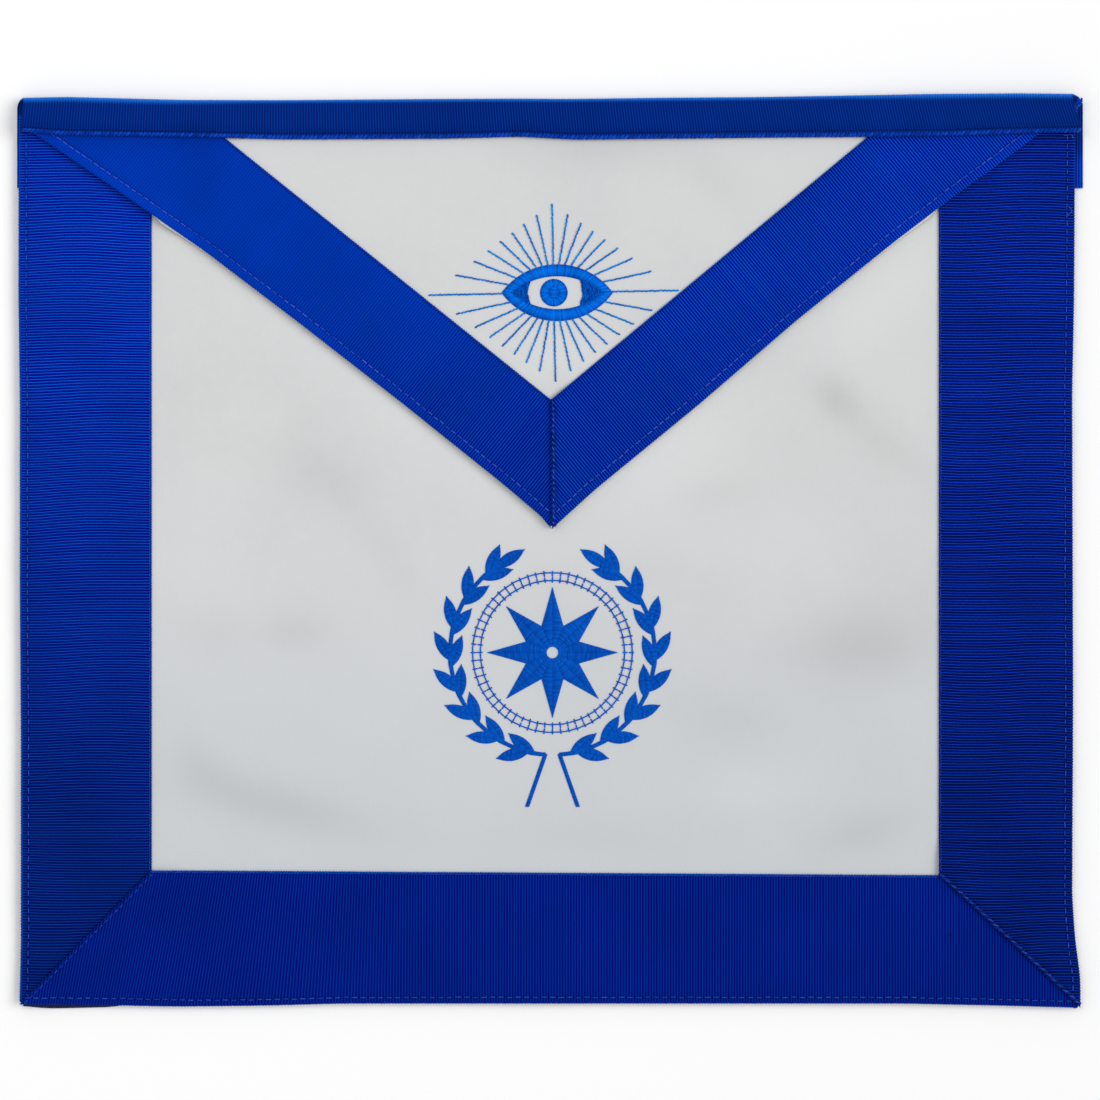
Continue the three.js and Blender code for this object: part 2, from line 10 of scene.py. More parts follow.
import bmesh
import bpy
import numpy as np
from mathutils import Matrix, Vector


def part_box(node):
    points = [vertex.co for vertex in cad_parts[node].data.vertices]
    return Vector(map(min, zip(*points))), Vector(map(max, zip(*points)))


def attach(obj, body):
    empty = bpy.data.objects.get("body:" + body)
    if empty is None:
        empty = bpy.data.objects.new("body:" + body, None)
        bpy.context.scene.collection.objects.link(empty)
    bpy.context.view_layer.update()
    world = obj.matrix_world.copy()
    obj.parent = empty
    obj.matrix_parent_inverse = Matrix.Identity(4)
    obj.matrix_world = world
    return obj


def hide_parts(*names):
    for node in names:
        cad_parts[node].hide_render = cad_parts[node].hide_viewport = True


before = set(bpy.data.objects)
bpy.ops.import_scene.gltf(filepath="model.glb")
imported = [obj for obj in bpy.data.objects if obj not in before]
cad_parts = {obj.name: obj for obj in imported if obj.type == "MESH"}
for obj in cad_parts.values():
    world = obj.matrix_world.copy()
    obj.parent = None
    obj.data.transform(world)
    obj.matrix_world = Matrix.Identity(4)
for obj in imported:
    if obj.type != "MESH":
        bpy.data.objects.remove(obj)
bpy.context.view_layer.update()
log = logging.getLogger("apron")

Array = np.ndarray
Colour = tuple[float, float, float, float]
Level = Callable[[Array, Array], Array]
Material = bpy.types.Material
Mesh = bpy.types.Mesh
Object = bpy.types.Object
Point = tuple[float, float]
Rails = list[tuple[Array, Array]]

PHOTO_WIDTH = 0.4254
PHOTO_MIDDLE_Y = 0.00036
CAMERA_HEIGHT = 2.0
SENSOR_WIDTH = 36.0
FULL_TURN = 2.0 * math.pi
FLAP_RIBBON_SHARE = 0.85


class Slot(Enum):
    """The record's material slots."""

    LEATHER = "white_leather"
    RIBBON = "blue_ribbon"
    LINING = "navy_lining"
    AZURE = "azure_thread"
    ROYAL = "royal_thread"


class Signal:
    """A socket of a node tree that takes part in arithmetic."""

    def __init__(self, graph: "Graph", socket: bpy.types.NodeSocket) -> None:
        """Args:
            graph: the tree that the socket is in.
            socket: the output that carries the value.
        """
        self.graph = graph
        self.socket = socket

    def _with(self, operation: str, *values: "Signal | float") -> "Signal":
        """Adds one Math node with these inputs."""
        return self.graph.make("ShaderNodeMath", {"operation": operation}, dict(enumerate(values)))

    def __add__(self, other: "Signal | float") -> "Signal":
        """Returns the sum."""
        return self._with("ADD", self, other)

    def __radd__(self, other: float) -> "Signal":
        """Returns the sum."""
        return self._with("ADD", other, self)

    def __sub__(self, other: "Signal | float") -> "Signal":
        """Returns the difference."""
        return self._with("SUBTRACT", self, other)

    def __rsub__(self, other: float) -> "Signal":
        """Returns the difference, with this value taken away."""
        return self._with("SUBTRACT", other, self)

    def __mul__(self, other: "Signal | float") -> "Signal":
        """Returns the product."""
        return self._with("MULTIPLY", self, other)

    def __rmul__(self, other: float) -> "Signal":
        """Returns the product."""
        return self._with("MULTIPLY", other, self)

    def __truediv__(self, other: "Signal | float") -> "Signal":
        """Returns the quotient."""
        return self._with("DIVIDE", self, other)

    def __mod__(self, other: float) -> "Signal":
        """Returns what is left over a whole number of these."""
        return self._with("MODULO", self, other)

    def __pow__(self, other: float) -> "Signal":
        """Returns the power."""
        return self._with("POWER", self, other)

    def __abs__(self) -> "Signal":
        """Returns the size without its sign."""
        return self._with("ABSOLUTE", self)

    def sine(self) -> "Signal":
        """Returns the sine of this angle."""
        return self._with("SINE", self)

    def cosine(self) -> "Signal":
        """Returns the cosine of this angle."""
        return self._with("COSINE", self)

    def floor(self) -> "Signal":
        """Returns the whole number below."""
        return self._with("FLOOR", self)

    def step(self, start: float, end: float) -> "Signal":
        """Returns a smooth rise from 0 to 1 between two values."""
        return self.graph.make(
            "ShaderNodeMapRange",
            {"interpolation_type": "SMOOTHSTEP"},
            {"Value": self, "From Min": start, "From Max": end},
        )


class Graph:
    """A node tree under construction, for a material or for geometry."""

    def __init__(self, tree: bpy.types.NodeTree) -> None:
        """Args:
            tree: the tree that nodes are added to.
        """
        self.tree = tree

    def node(self, kind: str, settings: dict | None = None, inputs: dict | None = None) -> bpy.types.Node:
        """Adds any node.

        Args:
            kind: the node's type.
            settings: properties that are set first.
            inputs: values or signals by socket name or number.

        Returns:
            The node.
        """
        made = self.tree.nodes.new(kind)
        for name, value in (settings or {}).items():
            setattr(made, name, value)
        for key, value in (inputs or {}).items():
            if isinstance(key, int):
                socket = made.inputs[key]
            else:
                socket = next(one for one in made.inputs if one.name == key and one.enabled)
            if isinstance(value, Signal):
                self.tree.links.new(value.socket, socket)
            else:
                socket.default_value = value
        return made

    def make(
        self, kind: str, settings: dict | None = None, inputs: dict | None = None, output: str | None = None
    ) -> Signal:
        """Adds any node and picks one of its outputs.

        Args:
            kind: the node's type.
            settings: properties that are set first.
            inputs: values or signals by socket name or number.
            output: the output's name, or None for the first one.

        Returns:
            That output.
        """
        made = self.node(kind, settings, inputs)
        return Signal(self, next(one for one in made.outputs if one.enabled and output in (None, one.name)))

    def place(self) -> Signal:
        """Returns the place on the object."""
        return self.make("ShaderNodeTexCoord", None, None, "Object")

    def mark(self, name: str) -> Signal:
        """Returns the value that the mesh stores under a name."""
        return self.make("ShaderNodeAttribute", {"attribute_name": name}, None, "Fac")

    def split(self, vector: Signal) -> list[Signal]:
        """Returns the three parts of a vector."""
        return [Signal(self, one) for one in self.node("ShaderNodeSeparateXYZ", None, {0: vector}).outputs]

    def combine(self, *parts: Signal | float) -> Signal:
        """Returns the vector that has these parts."""
        return self.make("ShaderNodeCombineXYZ", None, dict(enumerate(parts)))

    def scale(self, vector: Signal, by: Signal) -> Signal:
        """Returns a vector or colour times a value."""
        return self.make("ShaderNodeVectorMath", {"operation": "SCALE"}, {0: vector, "Scale": by})

    def blend(self, share: Signal, low: Signal | Colour, high: Signal | Colour) -> Signal:
        """Mixes two colours.

        Args:
            share: 0 for the low colour, 1 for the high one.
            low: a colour or its signal.
            high: a colour or its signal.

        Returns:
            The mixed colour.
        """
        mixed = {"Factor": share, "A": low, "B": high}
        return self.make("ShaderNodeMix", {"data_type": "RGBA"}, mixed, "Result")

    def noise(self, place: Signal, scale: float | Signal, detail: float = 2.0) -> Signal:
        """Adds soft noise.

        Args:
            place: the coordinates that it is read at.
            scale: how many grains fit in a unit.
            detail: how many finer layers it has.

        Returns:
            A value about 0.5.
        """
        values = {"Vector": place, "Scale": scale, "Detail": detail}
        return self.make("ShaderNodeTexNoise", None, values, "Fac")

    def bump(self, height: Signal, distance: float, strength: float) -> Signal:
        """Turns a height into a normal.

        Args:
            height: heights from 0 to 1.
            distance: what a height of 1 stands for, in metres.
            strength: how much of it shows.

        Returns:
            The normal.
        """
        return self.make(
            "ShaderNodeBump", None, {"Height": height, "Distance": distance, "Strength": strength}, "Normal"
        )


@dataclass(frozen=True)
class Finish:
    """A surface finish. Each kind of finish adds its own nodes."""

    title: str
    roughness: float = 0.6
    specular: float = 0.4
    gloss_tint: Colour = (1.0, 1.0, 1.0, 1.0)
    sheen: float = 0.0
    sheen_tint: Colour = (1.0, 1.0, 1.0, 1.0)

    def build(self) -> Material:
        """Makes the material.

        Returns:
            The new material.
        """
        material = bpy.data.materials.new(self.title)
        material.use_nodes = True
        material.node_tree.nodes.clear()
        graph = Graph(material.node_tree)
        values = {
            "Roughness": self.roughness,
            "Specular IOR Level": self.specular,
            "Specular Tint": self.gloss_tint,
            "Sheen Weight": self.sheen,
            "Sheen Tint": self.sheen_tint,
        }
        shader = graph.node("ShaderNodeBsdfPrincipled", None, values)
        for name, signal in self.surface(graph).items():
            graph.tree.links.new(signal.socket, shader.inputs[name])
        graph.node("ShaderNodeOutputMaterial", None, {"Surface": Signal(graph, shader.outputs[0])})
        return material

    def surface(self, graph: Graph) -> dict[str, Signal]:
        """Adds the nodes that vary over the surface.

        Args:
            graph: the material's tree.

        Returns:
            Signals by the name of the shader's socket.
        """
        raise NotImplementedError


@dataclass(frozen=True)
class RibbonFinish(Finish):
    """Ribbed ribbon: crests, grooves darkened by painted shade, fine threads, slow random shifts of tone, a
    painted ramp of light and shade from its low end up, a painted shadow line along the hem's stitches, a
    painted highlight on the hem and a painted highlight (gleam) along a line such as the band's fold.
    """

    crest: Colour = (0.0025, 0.052, 0.52, 1.0)
    # groove is painted shade: the grooves between ribs get a darker copy of the crest's blue, standing in for
    # the shade that falls in them.
    groove: Colour = (0.0002, 0.001, 0.055, 1.0)
    crest_start: float = 0.1
    crest_end: float = 0.95
    # crease_at, crease_width and crease_shade place a painted shadow line along the hem's stitches, where the
    # ribbon dips.
    crease_at: float = -1.0
    crease_width: float = 0.014
    crease_shade: float = 0.4
    hem_edge: float = 0.003
    # hem_glow paints the hem strip beyond the stitches lighter, a painted highlight.
    hem_glow: float = 0.0
    # gleam_at, gleam_width and gleam paint a highlight: a brighter line along the ribbon, such as the band's
    # fold catching the light.
    gleam_at: float = -1.0
    gleam_width: float = 0.02
    gleam: Colour = (0.0, 0.1, 0.6, 1.0)
    # low_shade, low_y and high_y paint a ramp of light and shade: below low_y the colour is scaled by
    # low_shade, above high_y it is left as it is.
    low_shade: float = 1.0
    low_y: float = -0.12
    high_y: float = 0.03
    # calm evens out the crest-to-groove tone, and so the grooves' painted shade, towards the top of the ramp.
    calm: float = 0.0
    calm_tone: float = 0.7
    threads: float = 160.0
    relief: float = 0.00012

    def surface(self, graph: Graph) -> dict[str, Signal]:
        """Adds the ribbon's nodes.

        Args:
            graph: the material's tree.

        Returns:
            Signals for the shader.
        """
        rib, across, _ = graph.split(graph.make("ShaderNodeUVMap", {"uv_map": "woven"}))
        place = graph.place()
        phase = abs((rib * math.pi).sine())
        number = (rib + 0.5).floor()
        dice = graph.make("ShaderNodeTexWhiteNoise", {"noise_dimensions": "1D"}, {"W": number}, "Value")
        rib_tone = dice - 0.5
        spot = {"Vector": graph.combine(rib * 0.7, across * self.threads), "Scale": 1.0}
        threads = graph.make("ShaderNodeTexNoise", {"noise_dimensions": "2D"}, spot, "Fac")
        # tone runs from the crest's colour to the grooves' painted shade, with random tone per rib and per
        # thread.
        tone = phase.step(self.crest_start, self.crest_end) + rib_tone * 0.12 + (threads - 0.5) * 0.3
        # height drives the painted ramp of light and shade from low_y up to high_y.
        height = graph.split(place)[1].step(self.low_y, self.high_y)
        tone = (tone - self.calm_tone) * (1.0 - height * self.calm) + self.calm_tone
        drift = (graph.noise(place, 26.0) - 0.5) * 0.5 + rib_tone * 0.1
        shade = height * (1.0 - self.low_shade) + self.low_shade
        # A painted shadow line along the stitches.
        stitch_shadow = 1.0 - (abs(across - self.crease_at) / self.crease_width).step(0.0, 1.0)
        hem = across.step(self.crease_at - self.hem_edge, self.crease_at + self.hem_edge)
        hem = hem if self.crease_at > 0.5 else 1.0 - hem
        # fold is the painted hem highlight times the painted stitch shadow, not the ribbon's own colour.
        fold = (hem * self.hem_glow + 1.0) * (1.0 - stitch_shadow * self.crease_shade)
        # Mask of the painted highlight line.
        gleam = 1.0 - (abs(across - self.gleam_at) / self.gleam_width).step(0.0, 1.0)
        shaded = graph.scale(graph.blend(tone, self.crest, self.groove), (drift + 1.0) * shade * fold)
        return {
            "Base Color": graph.blend(gleam * (1.0 - phase * 0.4), shaded, self.gleam),
            "Roughness": self.roughness + (phase - 0.5) * 0.12,
            "Normal": graph.bump((1.0 - phase) * 0.5 + threads * 0.5, self.relief, 0.6),
        }


@dataclass(frozen=True)
class LeatherFinish(Finish):
    """Smooth leather: fine grain, faint clouds, small pores, painted shade in its dents and painted light on
    its rises, and painted shade that turns it darker and bluer towards the bottom.
    """

    light: Colour = (0.645, 0.652, 0.654, 1.0)
    shade: Colour = (0.54, 0.555, 0.565, 1.0)
    # low_light, low_y and high_y paint shade: the leather turns darker and bluer towards the bottom, standing
    # in for light that falls off.
    low_light: Colour = (0.575, 0.607, 0.635, 1.0)
    low_y: float = -0.17
    high_y: float = 0.07
    # rubbed scales the colour by the stored dent share: painted shade in the dents, and painted light where
    # the share is below zero on the rises.
    rubbed: float = 0.115
    pores: float = 1400.0
    grain: float = 0.00006

    def surface(self, graph: Graph) -> dict[str, Signal]:
        """Adds the leather's nodes.

        Args:
            graph: the material's tree.

        Returns:
            Signals for the shader.
        """
        place = graph.place()
        clouds = graph.noise(place, 11.0, 3.0)
        mottle = graph.noise(place, 240.0, 3.0) - 0.5
        fibre = graph.noise(place, 2600.0)
        pores = graph.make("ShaderNodeTexVoronoi", None, {"Vector": place, "Scale": self.pores}, "Distance")
        hollow = graph.mark("hollow")
        # Painted shade, darker and bluer towards the bottom.
        height = graph.split(place)[1].step(self.low_y, self.high_y)
        light = graph.blend(height, self.low_light, self.light)
        colour = graph.blend(clouds.step(0.42, 0.78) * 0.35 + mottle * 0.3, light, self.shade)
        # Painted shade in the dents and painted light on the rises.
        rubbed = 1.0 - (hollow + (clouds - 0.5) * 0.5 * abs(hollow)) * self.rubbed
        return {
            "Base Color": graph.scale(colour, rubbed),
            "Roughness": self.roughness + mottle * 0.16,
            "Normal": graph.bump(pores * 0.6 + fibre * 0.4, self.grain, 0.6),
        }


@dataclass(frozen=True)
class LiningFinish(Finish):
    """Dark cotton twill: fine slanting ribs with flecks of lint."""

    light: Colour = (0.003, 0.012, 0.11, 1.0)
    dark: Colour = (0.001, 0.003, 0.035, 1.0)
    twill_pitch: float = 0.0009
    slope: float = 0.8
    relief: float = 0.00015

    def surface(self, graph: Graph) -> dict[str, Signal]:
        """Adds the lining's nodes.

        Args:
            graph: the material's tree.

        Returns:
            Signals for the shader.
        """
        place = graph.place()
        x, y, _ = graph.split(place)
        rib = ((x + y * self.slope) * (FULL_TURN / self.twill_pitch)).cosine() * 0.5 + 0.5
        lint = graph.noise(place, 700.0, 3.0)
        return {
            "Base Color": graph.blend(rib * 0.7 + (lint - 0.5) * 0.8, self.dark, self.light),
            "Normal": graph.bump(rib + lint * 0.4, self.relief, 0.8),
        }


@dataclass(frozen=True)
class ThreadFinish(Finish):
    """Glossy embroidery thread, whose tone differs by strand, with painted light at the middle of each arch
    and painted shade at its ends, and a fine twist.
    """

    light: Colour = (0.006, 0.19, 0.72, 1.0)
    dark: Colour = (0.0, 0.07, 0.4, 1.0)
    twist: float = 1800.0
    # arch_shade paints light and shade along each satin thread: lighter at its middle, darker at its ends.
    arch_shade: float = 0.0
    relief: float = 0.00005

    def surface(self, graph: Graph) -> dict[str, Signal]:
        """Adds the thread's nodes.

        Args:
            graph: the material's tree.

        Returns:
            Signals for the shader.
        """
        place = graph.place()
        slow = graph.noise(place, 90.0) - 0.5
        fuzz = graph.noise(place, self.twist)
        # Painted light and shade along the thread's arch.
        arch = (graph.mark("arch") - 0.6) * self.arch_shade
        tone = graph.mark("strand") * 0.95 + slow * 0.7 + (fuzz - 0.5) * 0.4 + arch + 0.03
        return {
            "Base Color": graph.blend(tone, self.dark, self.light),
            "Roughness": self.roughness + (fuzz - 0.5) * 0.2,
            "Normal": graph.bump(fuzz, self.relief, 0.5),
        }


@dataclass(frozen=True)
class FloorFinish(Finish):
    """A floor of even tone with a trace of unevenness."""

    tone: Colour = (0.99, 0.99, 0.99, 1.0)
    cloud: Colour = (0.95, 0.95, 0.95, 1.0)

    def surface(self, graph: Graph) -> dict[str, Signal]:
        """Adds the floor's nodes.

        Args:
            graph: the material's tree.

        Returns:
            Signals for the shader.
        """
        return {"Base Color": graph.blend(graph.noise(graph.place(), 3.0) * 0.02, self.tone, self.cloud)}


@dataclass(frozen=True)
class Bow:
    """How an edge wanders from its straight line."""

    passed: tuple[float, ...]
    drift: tuple[float, ...]

    def at(self, share: Array) -> Array:
        """Reads the drift, softened between the rows.

        Args:
            share: shares of the edge's length that are passed.

        Returns:
            Drifts, as shares of the size that they follow.
        """
        fine = np.linspace(-0.1, 1.1, 601)
        return np.interp(share, fine, softened(np.interp(fine, self.passed, self.drift), 8))


@dataclass(frozen=True)
class FlapSide:
    """One side of the flap: where its outer edge starts, its ribbon's width and lean, and its bow."""

    side: int
    start_across: float
    start_below: float
    inner_slope: float
    ribbon: float
    bow: Bow


@dataclass(frozen=True)
class Swell:
    """A soft swell of the leather, in shares of the panel and of the swells' height."""

    across: float
    below: float
    wide: float
    tall: float
    rise: float


@dataclass(frozen=True)
class Dent:
    """A long shallow dent: where it is in shares of the panel, its half length and width, turn and depth."""

    across: float
    below: float
    length: float
    width: float
    turn: float
    depth: float


@dataclass(frozen=True)
class LooseEnd:
    """A loose thread end: where it starts in shares of the panel, its length, its turn and its lift."""

    across: float
    below: float
    length: float
    turn: float
    lift: float


LEFT_EDGE = Bow(passed=(0, 0.22, 0.33, 0.55, 0.7, 0.93, 1), drift=(0.15, 0.2, 0, 0, -0.15, -0.15, 0.05))
RIGHT_EDGE = Bow(
    passed=(0, 0.22, 0.33, 0.66, 0.88, 0.93, 0.97, 1),
    drift=(0.28, 0.14, -0.14, 0, -0.14, 0.28, 1, 1),
)
BOTTOM_EDGE = Bow(
    passed=(0, 0.08, 0.17, 0.25, 0.31, 0.84, 0.93, 1),
    drift=(-0.1, 0, 0.29, 0.14, -0.14, -0.14, 0.14, 0.43),
)
BAND_TOP = Bow(
    passed=(0, 0.04, 0.15, 0.25, 0.4, 0.47, 0.52, 0.62, 0.7, 0.87, 0.95, 1),
    drift=(-0.17, 0, -0.5, -0.5, -0.3, -0.25, -0.3, -0.1, 0, 0.5, 0.6, 0.5),
)
BAND_LOW = Bow(
    passed=(0, 0.04, 0.15, 0.25, 0.4, 0.47, 0.52, 0.62, 0.7, 0.87, 0.95, 1),
    drift=(1, 0.33, 0.1, -0.3, -0.17, 0.17, -0.33, -0.17, 0, 0.2, 0.7, 0.83),
)
LINING_EDGE = Bow(
    passed=(0, 0.025, 0.09, 0.12, 0.95, 0.99, 1),
    drift=(0.5, 1, 0.6, -1, -1, 0, 0.6),
)
FLAP_LEFT = FlapSide(
    side=-1,
    start_across=0.003,
    start_below=0.033,
    inner_slope=38.75,
    ribbon=0.0375,
    bow=Bow(
        passed=(0, 0.14, 0.33, 0.52, 0.71, 0.9, 0.98, 1),
        drift=(0, 0.43, 0.95, 0.96, 0.83, 0.54, 0.29, 0),
    ),
)
FLAP_RIGHT = FlapSide(
    side=1,
    start_across=0.9886,
    start_below=0.023,
    inner_slope=39.7,
    ribbon=0.0367,
    bow=Bow(
        passed=(0, 0.12, 0.2, 0.31, 0.51, 0.71, 0.91, 1),
        drift=(0, 0.22, 0.5, 0.7, 0.74, 0.38, 0.3, 0),
    ),
)
SWELLS = (
    Swell(across=0.27, below=0.36, wide=0.11, tall=0.1, rise=0.8),
    Swell(across=0.3, below=0.7, wide=0.12, tall=0.11, rise=1),
    Swell(across=0.7, below=0.72, wide=0.13, tall=0.09, rise=0.9),
    Swell(across=0.79, below=0.36, wide=0.08, tall=0.12, rise=1),
    Swell(across=0.5, below=0.22, wide=0.16, tall=0.09, rise=0.6),
)
DENTS = (
    Dent(across=0.237, below=0.783, length=0.040, width=0.009, turn=-13, depth=1),
    Dent(across=0.165, below=0.740, length=0.015, width=0.008, turn=-30, depth=0.6),
    Dent(across=0.255, below=0.592, length=0.014, width=0.009, turn=0, depth=0.6),
    Dent(across=0.180, below=0.592, length=0.013, width=0.009, turn=0, depth=0.35),
    Dent(across=0.280, below=0.416, length=0.018, width=0.010, turn=-35, depth=0.55),
    Dent(across=0.340, below=0.500, length=0.022, width=0.007, turn=-55, depth=0.4),
    Dent(across=0.773, below=0.335, length=0.010, width=0.007, turn=-40, depth=0.85),
    Dent(across=0.808, below=0.377, length=0.022, width=0.009, turn=-38, depth=0.6),
    Dent(across=0.790, below=0.610, length=0.028, width=0.013, turn=5, depth=0.9),
    Dent(across=0.670, below=0.690, length=0.025, width=0.012, turn=0, depth=0.5),
    Dent(across=0.800, below=0.812, length=0.020, width=0.008, turn=20, depth=0.6),
    Dent(across=0.660, below=0.440, length=0.015, width=0.006, turn=5, depth=0.35),
    Dent(across=0.585, below=0.525, length=0.020, width=0.010, turn=0, depth=0.25),
    Dent(across=0.520, below=0.820, length=0.045, width=0.009, turn=0, depth=0.3),
    Dent(across=0.545, below=0.062, length=0.030, width=0.008, turn=0, depth=0.55),
    Dent(across=0.655, below=0.090, length=0.017, width=0.008, turn=-50, depth=0.35),
    Dent(across=0.340, below=0.330, length=0.060, width=0.018, turn=-39, depth=-0.55),
    Dent(across=0.610, below=0.390, length=0.030, width=0.020, turn=40, depth=-0.6),
    Dent(across=0.800, below=0.235, length=0.040, width=0.014, turn=40, depth=-0.45),
    Dent(across=0.720, below=0.500, length=0.030, width=0.018, turn=0, depth=-0.35),
    Dent(across=0.690, below=0.765, length=0.028, width=0.010, turn=0, depth=-0.35),
    Dent(across=0.160, below=0.480, length=0.030, width=0.040, turn=0, depth=-0.25),
    Dent(across=0.505, below=0.290, length=0.025, width=0.010, turn=0, depth=-0.4),
)
LOOSE_ENDS = (
    LooseEnd(across=0.9905, below=0.043, length=0.0045, turn=-35, lift=0.0004),
    LooseEnd(across=0.9960, below=0.122, length=0.0040, turn=-95, lift=0.0002),
)
SNAG = (LooseEnd(across=0.8810, below=0.925, length=0.002, turn=10, lift=0.0001),)
BAND_TUFT = (
    LooseEnd(across=1.0010, below=0.024, length=0.005, turn=80, lift=0.0030),
    LooseEnd(across=1.0020, below=0.018, length=0.004, turn=65, lift=0.0030),
    LooseEnd(across=1.0030, below=0.015, length=0.004, turn=95, lift=0.0028),
    LooseEnd(across=1.0028, below=0.010, length=0.003, turn=60, lift=0.0030),
    LooseEnd(across=1.0042, below=0.012, length=0.003, turn=85, lift=0.0026),
)


def smooth_step(share: Array) -> Array:
    """Rises smoothly from 0 to 1.

    Args:
        share: 0 or less gives 0, and 1 or more gives 1.

    Returns:
        The rise.
    """
    kept = np.clip(share, 0.0, 1.0)
    return kept * kept * (3.0 - 2.0 * kept)


def softened(values: Array, reach: int) -> Array:
    """Evens out a row of values.

    Args:
        values: evenly spaced values.
        reach: how many neighbours on each side take part.

    Returns:
        As many values, smoother.
    """
    kernel = np.exp(-0.5 * (np.arange(-reach, reach + 1) / (reach / 2.0)) ** 2)
    return np.convolve(np.pad(values, reach, mode="edge"), kernel / kernel.sum(), mode="valid")


def square_to(path: Array) -> Array:
    """Returns the directions to the left of a path in plan."""
    way = np.gradient(path, axis=0)
    way /= np.linalg.norm(way, axis=1, keepdims=True)
    return np.stack([-way[:, 1], way[:, 0]], -1)


def waves(x: Array, y: Array, seed: int, length: float, count: int = 9) -> Array:
    """Adds up gentle waves in many directions.

    Args:
        x: places across, in metres.
        y: places up, in metres.
        seed: a fixed seed for their directions and phases.
        length: their middling length, in metres.
        count: how many there are.

    Returns:
        Heights of about -1 to 1.
    """
    rng = np.random.default_rng(seed)
    total = np.zeros(np.broadcast(x, y).shape)
    for _ in range(count):
        angle = rng.uniform(0.0, math.pi)
        stretch = length * rng.uniform(0.6, 1.6)
        phase = rng.uniform(0.0, FULL_TURN)
        total += np.sin((x * math.cos(angle) + y * math.sin(angle)) * FULL_TURN / stretch + phase)
    return total / math.sqrt(count * 2.0)


